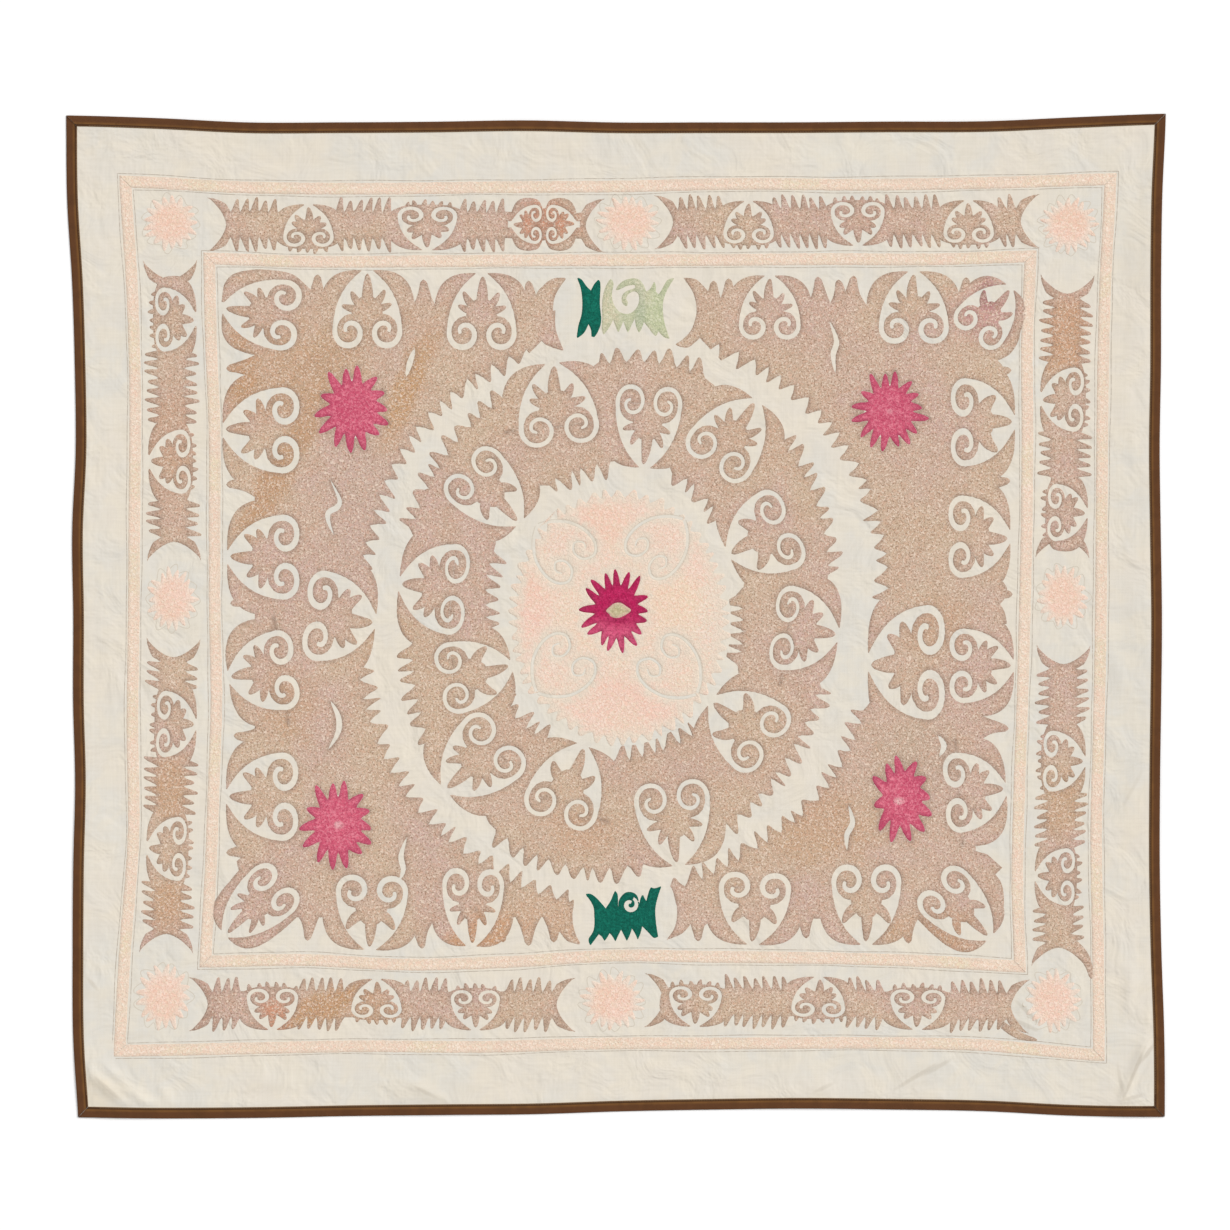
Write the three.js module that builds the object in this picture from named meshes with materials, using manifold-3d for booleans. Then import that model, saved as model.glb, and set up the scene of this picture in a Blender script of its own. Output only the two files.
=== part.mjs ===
// Suzani: a cotton cloth with stitched masses of thread and a folded tape binding, lying face up.
// Millimetres, +X to the right, +Y to the top of the cloth, +Z up. The origin is under its middle.

import * as THREE from 'three';
import * as BufferGeometryUtils from 'three/addons/utils/BufferGeometryUtils.js';
import Module from 'manifold-3d';

const wasm = await Module();
wasm.setup();

// Driving dimensions
const clothThick = 1.2;
const tapeThick = 0.7;
const tapeWidth = 19.2;
const seamGap = 0.3;
const threadThick = 0.9;
const bandWidth = 21;
const foldInset = 1.3;
const clothInset = 2.3;
const stationsWide = 18;
const stationsLong = 16;

// Levels that follow from them
const slotLow = tapeThick + seamGap;
const slotHigh = slotLow + clothThick;
const tapeTop = slotHigh + seamGap + tapeThick;
const threadLow = clothThick + seamGap;
const threadHigh = threadLow + threadThick;

// A wavy rectangle: four corners, and how far each side draws in from the straight line between
// its corners, at even steps from left to right or from bottom to top.
const clothEdge = {
  bottomLeft: [-941, -878],
  bottomRight: [960, -877],
  topLeft: [-962, 875],
  topRight: [962, 878],
  top: [0, 5, 13, 13, 12, 10, 14, 14, 14, 13, 13, 6, 0],
  right: [0, 1, 6, 9, 9, 7, 6, 8, 10, 8, 8, 6, 0],
  bottom: [0, -2, -1, 2, 4, 5, 10, 13, 15, 13, 10, 2, 0],
  left: [0, -7, -6, -3, 2, 0, 2, 2, 10, 10, 7, 0, 0],
};

const outerBandEdge = {
  bottomLeft: [-879, -772],
  bottomRight: [855, -780],
  topLeft: [-869, 770],
  topRight: [876, 774],
  top: [0, 11, 14, 12, 11, 7, 9, 6, 0],
  right: [0, 4, 10, 8, 7, 8, 9, 7, 0],
  bottom: [0, 5, 10, 10, 17, 18, 20, 17, 0],
  left: [0, 9, 22, 19, 20, 20, 20, 13, 0],
};

const innerBandEdge = {
  bottomLeft: [-729, -616],
  bottomRight: [717, -625],
  topLeft: [-722, 635],
  topRight: [736, 639],
  top: [0, 6, 6, 5, 5, 5, 4, 5, 0],
  right: [0, 7, 6, 3, 1, 0, 1, 4, 0],
  bottom: [0, 4, -3, 3, 15, 14, 13, 9, 0],
  left: [0, 8, 13, 17, 13, 12, 11, 4, 0],
};

// Soft waves of the plain border, each a low ridge along a line
const waves = [
  { x: -890, y: 300, heading: 80, length: 190, width: 60, height: 1.6 },
  { x: -905, y: -420, heading: 100, length: 170, width: 55, height: 2.2 },
  { x: -880, y: -825, heading: -40, length: 120, width: 50, height: 2.8 },
  { x: -330, y: -840, heading: -25, length: 150, width: 45, height: 1.8 },
  { x: 350, y: -835, heading: 18, length: 170, width: 50, height: 2.0 },
  { x: 905, y: -830, heading: 55, length: 130, width: 50, height: 2.6 },
  { x: 925, y: -300, heading: 65, length: 150, width: 50, height: 1.8 },
  { x: 915, y: -20, heading: 105, length: 150, width: 55, height: 2.0 },
  { x: 900, y: 520, heading: 85, length: 160, width: 55, height: 1.5 },
  { x: 580, y: 815, heading: 35, length: 150, width: 50, height: 2.2 },
  { x: -60, y: 830, heading: 10, length: 180, width: 50, height: 1.4 },
  { x: -560, y: 825, heading: -12, length: 170, width: 55, height: 1.8 },
];

// Palmettes. tip is the way that each one points, half its half width, rise its half height.
const leftPalmettes = [
  { x: -619, y: 530, tip: 173, half: 63, rise: 65, foot: 6 },
  { x: -435, y: 534, tip: 90, half: 61, rise: 66 },
  { x: -235, y: 530, tip: 90, half: 61, rise: 65 },
  { x: -619, y: 324, tip: 180, half: 75, rise: 65 },
  { x: -615, y: 102, tip: 180, half: 74, rise: 61 },
  { x: -617, y: -100, tip: 188, half: 70, rise: 58 },
  { x: -617, y: -317, tip: 180, half: 77, rise: 61 },
  { x: -634, y: -511, tip: 225, half: 54, rise: 66, foot: 6 },
  { x: -428, y: -518, tip: 268, half: 63, rise: 63 },
  { x: -251, y: -509, tip: 268, half: 54, rise: 66 },
  { x: -484, y: -4, tip: -6, half: 79, rise: 60 },
];

const rightPalmettes = [
  { x: 269, y: 537, tip: 90, half: 54, rise: 54 },
  { x: 521, y: 537, tip: 90, half: 61, rise: 61 },
  { x: 654, y: 529, tip: 52, half: 50, rise: 52, foot: 6 },
  { x: 640, y: 338, tip: 0, half: 77, rise: 54 },
  { x: 634, y: 138, tip: 0, half: 72, rise: 52 },
  { x: 638, y: -88, tip: 0, half: 65, rise: 54 },
  { x: 627, y: -308, tip: 4, half: 70, rise: 52 },
  { x: 603, y: -513, tip: 316, half: 54, rise: 66, foot: 6 },
  { x: 438, y: -504, tip: 270, half: 61, rise: 68 },
  { x: 242, y: -511, tip: 268, half: 63, rise: 61 },
  { x: 510, y: -82, tip: 180, half: 100, rise: 65 },
];

const ringPalmettes = [
  { x: -104, y: 368, tip: 96, half: 70, rise: 70 },
  { x: 55, y: 332, tip: 266, half: 58, rise: 70 },
  { x: 204, y: 315, tip: 54, half: 65, rise: 70 },
  { x: 255, y: 136, tip: 205, half: 74, rise: 61 },
  { x: 330, y: -26, tip: -8, half: 74, rise: 56 },
  { x: 223, y: -191, tip: 142, half: 70, rise: 66 },
  { x: 102, y: -362, tip: 276, half: 66, rise: 72 },
  { x: -83, y: -296, tip: 70, half: 66, rise: 70 },
  { x: -244, y: -256, tip: 222, half: 70, rise: 70 },
  { x: -248, y: -102, tip: 12, half: 63, rise: 63 },
  { x: -318, y: 49, tip: 174, half: 79, rise: 58 },
  { x: -220, y: 215, tip: 315, half: 61, rise: 70 },
];

// Teeth between the palmettes of the field, by the places of their tips
const leftTeeth = [
  { tip: 90, places: [[-522, 597], [-337, 588], [-153, 586]] },
  { tip: 180, places: [[-682, 432], [-682, 229], [-675, 21], [-669, -210], [-682, -415]] },
  { tip: 270, places: [[-540, -569], [-339, -583], [-197, -572], [-153, -578], [-109, -572]] },
];

const rightTeeth = [
  { tip: 90, places: [[171, 586], [197, 590], [353, 593], [389, 588], [416, 595], [613, 592]] },
  { tip: 0, places: [[692, 429], [690, 236], [694, 37], [687, -198], [673, -443]] },
  { tip: 270, places: [[144, -570], [333, -565], [512, -574]] },
];

// Runs of the main border, from the tips of one pair of horns to the other. along and across place
// each palmette on its run, and tip is the way it points, turned with the run.
const borderRuns = [
  {
    name: 'border_top_left', from: [-713, 684], to: [-22, 682],
    palmettes: [
      { along: 175, across: -3, tip: 90, half: 44, rise: 35 },
      { along: 383, across: -4, tip: -90, half: 52, rise: 36 },
      { along: 558, across: 2, tip: 180, half: 34, rise: 25 },
      { along: 616, across: 2, tip: 0, half: 34, rise: 25 },
    ],
  },
  {
    name: 'border_top_right', from: [69, 688], to: [739, 690],
    palmettes: [
      { along: 163, across: -2, tip: 90, half: 44, rise: 35 },
      { along: 354, across: -2, tip: -90, half: 47, rise: 36 },
      { along: 548, across: -2, tip: 90, half: 44, rise: 35 },
    ],
  },
  {
    name: 'border_left_top', from: [-780, 619], to: [-773, 98],
    palmettes: [
      { along: 101, across: 7, tip: 90, half: 56, rise: 34 },
      { along: 350, across: -4, tip: -90, half: 56, rise: 35 },
    ],
  },
  {
    name: 'border_left_bottom', from: [-774, -42], to: [-787, -588],
    palmettes: [
      { along: 148, across: 7, tip: 90, half: 58, rise: 33 },
      { along: 366, across: -2, tip: -90, half: 56, rise: 33 },
    ],
  },
  {
    name: 'border_right_top', from: [790, 594], to: [781, 103],
    palmettes: [
      { along: 216, across: -4, tip: -90, half: 56, rise: 36 },
      { along: 414, across: 6, tip: 90, half: 50, rise: 33 },
    ],
  },
  {
    name: 'border_right_bottom', from: [783, -54], to: [774, -612],
    palmettes: [
      { along: 201, across: 3, tip: 90, half: 53, rise: 35 },
      { along: 403, across: -7, tip: -90, half: 50, rise: 33 },
    ],
  },
  {
    name: 'border_bottom_left', from: [-745, -680], to: [-73, -681],
    palmettes: [
      { along: 144, across: -7, tip: -90, half: 45, rise: 34 },
      { along: 326, across: 9, tip: 90, half: 44, rise: 32 },
      { along: 499, across: -8, tip: -90, half: 43, rise: 33 },
    ],
  },
  {
    name: 'border_bottom_right', from: [52, -673], to: [722, -684],
    palmettes: [
      { along: 87, across: -8, tip: -90, half: 46, rise: 33 },
      { along: 302, across: 9, tip: 90, half: 47, rise: 33 },
      { along: 476, across: -7, tip: -90, half: 48, rise: 33 },
    ],
  },
];
const runFoot = 9;
const runHalfWidth = 45;
const toothDepth = 15;
const toothPitch = 26;
const hornBite = 34;

const rosettes = [
  { name: 'rosette_top_left', x: -780, y: 686, wide: 46, tall: 48 },
  { name: 'rosette_top', x: 22, y: 688, wide: 50, tall: 44 },
  { name: 'rosette_top_right', x: 795, y: 682, wide: 46, tall: 46 },
  { name: 'rosette_right', x: 781, y: 33, wide: 42, tall: 56 },
  { name: 'rosette_bottom_right', x: 769, y: -674, wide: 46, tall: 54 },
  { name: 'rosette_bottom', x: -6, y: -674, wide: 54, tall: 50 },
  { name: 'rosette_bottom_left', x: -788, y: -668, wide: 40, tall: 54 },
  { name: 'rosette_left', x: -776, y: 28, wide: 42, tall: 54 },
];

const roseStars = [
  { name: 'rose_star_top_left', x: -459, y: 362, petals: 15, wide: 66, tall: 76, turn: 4 },
  { name: 'rose_star_top_right', x: 479, y: 357, petals: 16, wide: 66, tall: 72, turn: 11 },
  { name: 'rose_star_bottom_left', x: -486, y: -366, petals: 15, wide: 65, tall: 79, turn: 0 },
  { name: 'rose_star_bottom_right', x: 501, y: -320, petals: 12, wide: 56, tall: 78, turn: 8 },
];

// Distance from the medallion's middle to the roots of each row of teeth, every 20 degrees
// counterclockwise from +X
const medallion = {
  x: 8,
  y: -4,
  field: [466, 485, 502, 509, 506, 497, 497, 488, 467, 462, 473, 487, 490, 497, 480, 469, 471, 459],
  outer: [359, 382, 408, 434, 452, 443, 434, 411, 392, 366, 380, 411, 438, 452, 429, 403, 378, 366],
  inner: [215, 214, 238, 266, 277, 271, 268, 256, 247, 235, 240, 254, 252, 256, 245, 242, 228, 221],
  centre: [178, 180, 189, 199, 206, 206, 198, 188, 180, 178, 180, 188, 198, 206, 206, 199, 189, 180],
};
const ringTooth = 22;
const centreTooth = 6;
const centreMargin = 3;
const roomSteps = 36;
const ringTeeth = { field: 62, outer: 54, inner: 27, centre: 22 };

const material = {
  ground: new THREE.MeshStandardMaterial({ color: 0xe6dfd4, roughness: 0.95, metalness: 0 }),
  binding: new THREE.MeshStandardMaterial({ color: 0x66401f, roughness: 0.85, metalness: 0 }),
  tan: new THREE.MeshStandardMaterial({ color: 0xcdab92, roughness: 0.8, metalness: 0 }),
  peach: new THREE.MeshStandardMaterial({ color: 0xf0d6c2, roughness: 0.85, metalness: 0 }),
  blush: new THREE.MeshStandardMaterial({ color: 0xf0d0be, roughness: 0.85, metalness: 0 }),
  rose: new THREE.MeshStandardMaterial({ color: 0xd25c73, roughness: 0.75, metalness: 0 }),
  magenta: new THREE.MeshStandardMaterial({ color: 0xb41c58, roughness: 0.7, metalness: 0 }),
  green: new THREE.MeshStandardMaterial({ color: 0x00735c, roughness: 0.75, metalness: 0 }),
  sage: new THREE.MeshStandardMaterial({ color: 0xbfcba0, roughness: 0.8, metalness: 0 }),
};

const group = new THREE.Group();

// Plane geometry

function point(x, y) {
  return new THREE.Vector2(x, y);
}

// A repeatable unevenness between -1 and 1
function uneven(index, row) {
  const wave = Math.sin(index * 12.9898 + row * 78.233) * 43758.5453;
  return 2 * (wave - Math.floor(wave)) - 1;
}

// A smooth value between the middle two of four even steps
function smooth([before, from, to, after], part) {
  const slopeIn = (to - before) / 2;
  const slopeOut = (after - from) / 2;
  const square = part * part;
  const cube = square * part;
  return (2 * cube - 3 * square + 1) * from
    + (cube - 2 * square + part) * slopeIn
    + (3 * square - 2 * cube) * to
    + (cube - square) * slopeOut;
}

function drawIn(values, t) {
  const steps = values.length - 1;
  const cell = Math.min(Math.floor(t * steps), steps - 1);
  const before = values[Math.max(cell - 1, 0)];
  const after = values[Math.min(cell + 2, steps)];
  return smooth([before, values[cell], values[cell + 1], after], t * steps - cell);
}

// The place in a wavy rectangle at u from left to right and v from bottom to top
function placeIn(frame, u, v) {
  const mix = (a, b, t) => a + (b - a) * t;
  const place = [0, 0];
  for (const axis of [0, 1]) {
    const low = mix(frame.bottomLeft[axis], frame.bottomRight[axis], u);
    const high = mix(frame.topLeft[axis], frame.topRight[axis], u);
    place[axis] = mix(low, high, v);
  }
  place[0] += drawIn(frame.left, v) * (1 - u) - drawIn(frame.right, v) * u;
  place[1] += drawIn(frame.bottom, u) * (1 - v) - drawIn(frame.top, u) * v;
  return place;
}

function frameSize(frame) {
  return {
    wide: frame.topRight[0] - frame.topLeft[0],
    tall: frame.topLeft[1] - frame.bottomLeft[1],
  };
}

// One side of a wavy rectangle at some inset, at t from 0 to 1, counterclockwise
function sidePlace(frame, side, t, inset) {
  const size = frameSize(frame);
  const du = inset / size.wide;
  const dv = inset / size.tall;
  const u = du + (1 - 2 * du) * t;
  const v = dv + (1 - 2 * dv) * t;
  if (side === 'bottom') {
    return placeIn(frame, u, dv);
  }
  if (side === 'right') {
    return placeIn(frame, 1 - du, v);
  }
  if (side === 'top') {
    return placeIn(frame, 1 - u, 1 - dv);
  }
  return placeIn(frame, du, 1 - v);
}

const sides = [
  { name: 'bottom', stations: stationsWide },
  { name: 'right', stations: stationsLong },
  { name: 'top', stations: stationsWide },
  { name: 'left', stations: stationsLong },
];

function waveHeight(x, y) {
  let height = 0;
  for (const wave of waves) {
    const angle = THREE.MathUtils.degToRad(wave.heading);
    const dx = x - wave.x;
    const dy = y - wave.y;
    const along = (dx * Math.cos(angle) + dy * Math.sin(angle)) / wave.length;
    const across = (dy * Math.cos(angle) - dx * Math.sin(angle)) / wave.width;
    height += wave.height * Math.exp(-along * along - across * across);
  }
  return height;
}

// The lift of the cloth's edge at one station: the same right across the binding
function edgeLift(side, t) {
  const [x, y] = sidePlace(clothEdge, side, t, tapeWidth);
  return waveHeight(x, y);
}

// Solids

function closedGeometry(positions, faces) {
  const geometry = new THREE.BufferGeometry();
  geometry.setAttribute('position', new THREE.Float32BufferAttribute(positions, 3));
  geometry.setIndex(faces);
  geometry.computeVertexNormals();
  return geometry;
}

function prism(outline, low, high) {
  const shape = new THREE.Shape(outline);
  const settings = { depth: high - low, bevelEnabled: false, steps: 1 };
  const extruded = new THREE.ExtrudeGeometry(shape, settings);
  extruded.translate(0, 0, low);
  extruded.deleteAttribute('normal');
  extruded.deleteAttribute('uv');
  const merged = BufferGeometryUtils.mergeVertices(extruded, 0.0001);
  return new wasm.Manifold(new wasm.Mesh({
    numProp: 3,
    vertProperties: new Float32Array(merged.attributes.position.array),
    triVerts: new Uint32Array(merged.index.array),
  }));
}

function stitched(outline) {
  return prism(outline, threadLow, threadHigh);
}

function cutter(outline) {
  return prism(outline, threadLow - 1, threadHigh + 1);
}

function addNode(name, geometry, slot) {
  const mesh = new THREE.Mesh(geometry, material[slot]);
  mesh.name = name;
  group.add(mesh);
}

// The largest body of a stitched mass, without the crumbs that a cut can leave
function mainBody(solid) {
  const mesh = solid.getMesh();
  const count = mesh.vertProperties.length / 3;
  const leader = Array.from({ length: count }, (_, index) => index);
  const find = (index) => {
    let root = index;
    while (leader[root] !== root) {
      root = leader[root];
    }
    leader[index] = root;
    return root;
  };
  for (let face = 0; face < mesh.triVerts.length; face += 3) {
    const root = find(mesh.triVerts[face]);
    leader[find(mesh.triVerts[face + 1])] = root;
    leader[find(mesh.triVerts[face + 2])] = root;
  }
  const sizes = new Map();
  for (const vertex of mesh.triVerts) {
    const root = find(vertex);
    sizes.set(root, (sizes.get(root) ?? 0) + 1);
  }
  const largest = [...sizes.entries()].sort((a, b) => b[1] - a[1])[0][0];
  const faces = [];
  for (let face = 0; face < mesh.triVerts.length; face += 3) {
    if (find(mesh.triVerts[face]) === largest) {
      faces.push(mesh.triVerts[face], mesh.triVerts[face + 1], mesh.triVerts[face + 2]);
    }
  }
  const renumbered = new Map();
  const positions = [];
  const index = faces.map((vertex) => {
    if (!renumbered.has(vertex)) {
      renumbered.set(vertex, positions.length / 3);
      positions.push(...mesh.vertProperties.slice(vertex * 3, vertex * 3 + 3));
    }
    return renumbered.get(vertex);
  });
  return closedGeometry(positions, index);
}

// Ground cloth: rings from the edge inwards, with a flat middle

const clothRings = [
  { inset: clothInset, low: slotLow, ripple: 1 },
  { inset: tapeWidth + 2, low: slotLow, ripple: 1 },
  { inset: 42, low: 0, ripple: 1 },
  { inset: 80, low: 0, ripple: 0 },
];

function groundCloth() {
  const positions = [];
  const faces = [];
  const loop = [];
  for (const side of sides) {
    for (let step = 0; step < side.stations; step += 1) {
      loop.push({ side: side.name, t: step / side.stations });
    }
  }
  const count = loop.length;
  const vertex = (ring, station, top) => (ring * count + (station % count)) * 2 + (top ? 1 : 0);
  for (const ring of clothRings) {
    for (const { side, t } of loop) {
      const [x, y] = sidePlace(clothEdge, side, t, ring.inset);
      const inBinding = ring.inset < tapeWidth + 3;
      const wave = inBinding ? edgeLift(side, t) : waveHeight(x, y);
      const low = ring.low + wave * ring.ripple;
      positions.push(x, y, low, x, y, low + clothThick);
    }
  }
  for (let ring = 0; ring < clothRings.length - 1; ring += 1) {
    for (let station = 0; station < count; station += 1) {
      for (const top of [false, true]) {
        const a = vertex(ring, station, top);
        const b = vertex(ring, station + 1, top);
        const c = vertex(ring + 1, station + 1, top);
        const d = vertex(ring + 1, station, top);
        if (top) {
          faces.push(a, b, c, a, c, d);
        } else {
          faces.push(a, c, b, a, d, c);
        }
      }
    }
  }
  for (let station = 0; station < count; station += 1) {
    const a = vertex(0, station, false);
    const b = vertex(0, station + 1, false);
    const c = vertex(0, station + 1, true);
    const d = vertex(0, station, true);
    faces.push(a, b, c, a, c, d);
  }
  const last = clothRings.length - 1;
  const inset = clothRings[last].inset;
  const middle = loop.map(({ side, t }) => point(...sidePlace(clothEdge, side, t, inset)));
  for (const [a, b, c] of THREE.ShapeUtils.triangulateShape(middle, [])) {
    faces.push(vertex(last, a, true), vertex(last, b, true), vertex(last, c, true));
    faces.push(vertex(last, a, false), vertex(last, c, false), vertex(last, b, false));
  }
  return closedGeometry(positions, faces);
}

// Binding: a tape folded over the edge, cut on a mitre at each end

const tapeSection = [
  { inset: 0, height: 0 },
  { inset: tapeWidth, height: 0 },
  { inset: tapeWidth, height: tapeThick },
  { inset: foldInset, height: tapeThick },
  { inset: foldInset, height: tapeTop - tapeThick },
  { inset: tapeWidth, height: tapeTop - tapeThick },
  { inset: tapeWidth, height: tapeTop },
  { inset: 0, height: tapeTop },
];

function bindingStrip(side, stations) {
  const positions = [];
  const faces = [];
  const size = frameSize(clothEdge);
  const mitreGap = seamGap / (side === 'top' || side === 'bottom' ? size.wide : size.tall);
  const ring = tapeSection.length;
  for (let step = 0; step <= stations; step += 1) {
    const t = step / stations;
    const lift = edgeLift(side, t);
    const cut = THREE.MathUtils.clamp(t, mitreGap, 1 - mitreGap);
    for (const { inset, height } of tapeSection) {
      const [x, y] = sidePlace(clothEdge, side, cut, inset);
      positions.push(x, y, height + lift);
    }
  }
  for (let step = 0; step < stations; step += 1) {
    for (let corner = 0; corner < ring; corner += 1) {
      const a = step * ring + corner;
      const b = step * ring + ((corner + 1) % ring);
      const c = b + ring;
      const d = a + ring;
      faces.push(a, b, c, a, c, d);
    }
  }
  const outline = tapeSection.map(({ inset, height }) => point(inset, height));
  const end = stations * ring;
  for (const [a, b, c] of THREE.ShapeUtils.triangulateShape(outline, [])) {
    faces.push(a, c, b);
    faces.push(end + a, end + b, end + c);
  }
  return closedGeometry(positions, faces);
}

// Stitched bands: four runs along a wavy rectangle, meeting on a mitre

function bandRun(frame, side, steps) {
  const size = frameSize(frame);
  const gap = seamGap / (side === 'top' || side === 'bottom' ? size.wide : size.tall);
  const outer = [];
  const inner = [];
  for (let step = 0; step <= steps; step += 1) {
    const t = THREE.MathUtils.clamp(step / steps, gap, 1 - gap);
    outer.push(point(...sidePlace(frame, side, t, 0)));
    inner.unshift(point(...sidePlace(frame, side, t, bandWidth)));
  }
  return mainBody(stitched([...outer, ...inner]));
}

// Rows of teeth and closed star outlines

function ringPlace(radii, angle, offset) {
  const share = angle / (2 * Math.PI) * radii.length;
  const cell = Math.floor(share);
  const at = (index) => radii[(index + radii.length) % radii.length];
  const near = [at(cell - 1), at(cell), at(cell + 1), at(cell + 2)];
  const reach = smooth(near, share - cell) + offset;
  return point(medallion.x + reach * Math.cos(angle), medallion.y + reach * Math.sin(angle));
}

function starOutline({ x, y, wide, tall, petals, turn = 0, waist = 0.7, seed = 0 }) {
  const outline = [];
  for (let index = 0; index < petals * 2; index += 1) {
    const angle = Math.PI * index / petals + THREE.MathUtils.degToRad(turn);
    const outer = index % 2 === 0;
    const reach = outer ? 1 + 0.05 * uneven(index, seed) : waist;
    outline.push(point(x + wide * reach * Math.cos(angle), y + tall * reach * Math.sin(angle)));
  }
  return outline;
}

function toothedRing(radii, teeth, depth, seed) {
  const outline = [];
  for (let index = 0; index < teeth * 2; index += 1) {
    const angle = Math.PI * index / teeth;
    const offset = index % 2 === 0 ? depth * (1 + 0.2 * uneven(index, seed)) : 0;
    outline.push(ringPlace(radii, angle, offset));
  }
  return outline;
}

// Palmettes. Each is drawn about its own middle with its tip at the top, then turned and moved.

function coilOf(palmette) {
  const wide = palmette.half * 0.47;
  const tall = palmette.rise * 0.46;
  return { wide, tall, x: palmette.half - wide, y: tall - palmette.rise };
}

function placed(palmette, outline) {
  const turn = THREE.MathUtils.degToRad(palmette.tip - 90);
  return outline.map((place) => {
    const moved = place.clone().rotateAround(point(0, 0), turn);
    return moved.add(point(palmette.x, palmette.y));
  });
}

function mirrored(outline) {
  return outline.map((place) => point(-place.x, place.y)).reverse();
}

// The band of thread that closes round the palmette, with a horn at each side of its tip.
// One at the edge of a mass has thread under its foot too, foot high.
function archOutline(palmette) {
  const { half, rise, foot = 0 } = palmette;
  const band = Math.min(17, half * 0.26);
  const right = new THREE.CubicBezierCurve(
    point(half + band, coilOf(palmette).y),
    point(half + band, rise * 0.45),
    point(half * 0.72, rise * 0.95),
    point(5, rise + 3),
  ).getPoints(foot > 0 ? 2 : 3);
  if (foot > 0) {
    right.unshift(point(half * 0.62, -rise - foot));
  }
  return placed(palmette, [...right, ...mirrored(right)]);
}

// The scroll runs from the side of the window round its foot and in to the eye. Palmettes of the
// border are half as large and have fewer corners.
const smallRise = 40;
const slitReach = 8;
const scrollTurns = [
  { turn: 0, outer: 1.0, inner: 0.52 },
  { turn: 78, outer: 1.04, inner: 0.6 },
  { turn: 156, outer: 0.95, inner: 0.55 },
  { turn: 240, outer: 0.72, inner: 0.3 },
];
const smallScrollTurns = [
  { turn: 0, outer: 1.0, inner: 0.5 },
  { turn: 100, outer: 1.05, inner: 0.55 },
  { turn: 200, outer: 0.85, inner: 0.4 },
];

// One half of the open cloth of a palmette: the side of its window, a scroll, the shoulder of
// thread over the scroll, a side leaf and the leaf at the tip
function windowOutline(palmette, side) {
  const { half, rise } = palmette;
  const coil = coilOf(palmette);
  const small = rise < smallRise;
  const turns = small ? smallScrollTurns : scrollTurns;
  const turned = (row, share) => {
    const angle = -THREE.MathUtils.degToRad(row.turn);
    const x = coil.x + coil.wide * share * Math.cos(angle);
    const y = coil.y + coil.tall * share * Math.sin(angle);
    return point(x, y);
  };
  const flank = new THREE.CubicBezierCurve(
    point(3.5, rise + slitReach),
    point(half * 0.55, rise * 0.72),
    point(half, rise * 0.35),
    point(half, coil.y),
  ).getPoints(small ? 2 : 3);
  const outer = turns.slice(1).map((row) => turned(row, row.outer));
  const inner = turns.map((row) => turned(row, row.inner)).reverse();
  const outline = [
    point(-0.4, rise + slitReach),
    ...flank,
    ...outer,
    ...inner,
    point(coil.x, coil.y + coil.tall * 0.84),
    point(half * 0.5, rise * 0.32),
    point(half * 0.15, rise * 0.2),
    point(-0.4, rise * 0.92),
  ];
  return placed(palmette, outline.map((place) => point(side * place.x, place.y)));
}

function addArches(mass, palmettes) {
  return palmettes.reduce((sum, palmette) => sum.add(stitched(archOutline(palmette))), mass);
}

function openPalmettes(mass, palmettes) {
  let sum = mass;
  for (const palmette of palmettes) {
    for (const side of [-1, 1]) {
      sum = sum.subtract(cutter(windowOutline(palmette, side)));
    }
  }
  return sum;
}

// Field: two masses that close round the medallion and end in horns at the green fillings.
// fieldCorners goes round each of them from the opening at the top, counterclockwise on the left
// and clockwise on the right.
const fieldTooth = { length: 44, width: 26 };
const fieldCorners = {
  left: [
    [8, 430],
    [-86, 468],
    [-108, 530],
    [-86, 592],
    [-130, 560],
    [-643, 560],
    [-643, -541],
    [-104, -541],
    [-66, -572],
    [-80, -526],
    [-70, -490],
    [8, -450],
  ],
  right: [
    [8, 430],
    [104, 468],
    [130, 530],
    [114, 590],
    [138, 560],
    [652, 560],
    [622, -541],
    [124, -541],
    [88, -568],
    [106, -512],
    [90, -466],
    [8, -450],
  ],
};

function leafOutline([x, y], tip) {
  const angle = THREE.MathUtils.degToRad(tip);
  const forward = point(Math.cos(angle), Math.sin(angle));
  const aside = point(-forward.y, forward.x);
  const { length, width } = fieldTooth;
  const at = (back, off) => point(
    x - forward.x * back + aside.x * off,
    y - forward.y * back + aside.y * off,
  );
  return [at(0, 0), at(length, width / 2), at(length, -width / 2)];
}

function addTeeth(mass, rows) {
  let sum = mass;
  for (const { tip, places } of rows) {
    for (const place of places) {
      sum = sum.add(stitched(leafOutline(place, tip)));
    }
  }
  return sum;
}

function fieldMass(corners, palmettes, teeth) {
  const tips = medallion.field.map((reach) => reach - ringTooth);
  const opening = toothedRing(tips, ringTeeth.field, ringTooth, 3);
  const outline = corners.map(([x, y]) => point(x, y));
  const block = stitched(THREE.ShapeUtils.isClockWise(outline) ? outline.reverse() : outline);
  const mass = addTeeth(addArches(block.subtract(cutter(opening)), palmettes), teeth);
  return openPalmettes(mass, palmettes);
}

// The room that the pale centre takes, which the horns of the palmettes stay out of
function centreRoom() {
  const outline = [];
  for (let step = 0; step < roomSteps; step += 1) {
    const angle = 2 * Math.PI * step / roomSteps;
    outline.push(ringPlace(medallion.centre, angle, centreTooth + centreMargin));
  }
  return outline;
}

function medallionRing() {
  const tips = medallion.inner.map((reach) => reach - ringTooth);
  const outer = toothedRing(medallion.outer, ringTeeth.outer, ringTooth, 5);
  const inner = toothedRing(tips, ringTeeth.inner, ringTooth, 7);
  const ring = addArches(stitched(outer).subtract(cutter(inner)), ringPalmettes);
  return openPalmettes(ring.subtract(cutter(centreRoom())), ringPalmettes);
}

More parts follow.
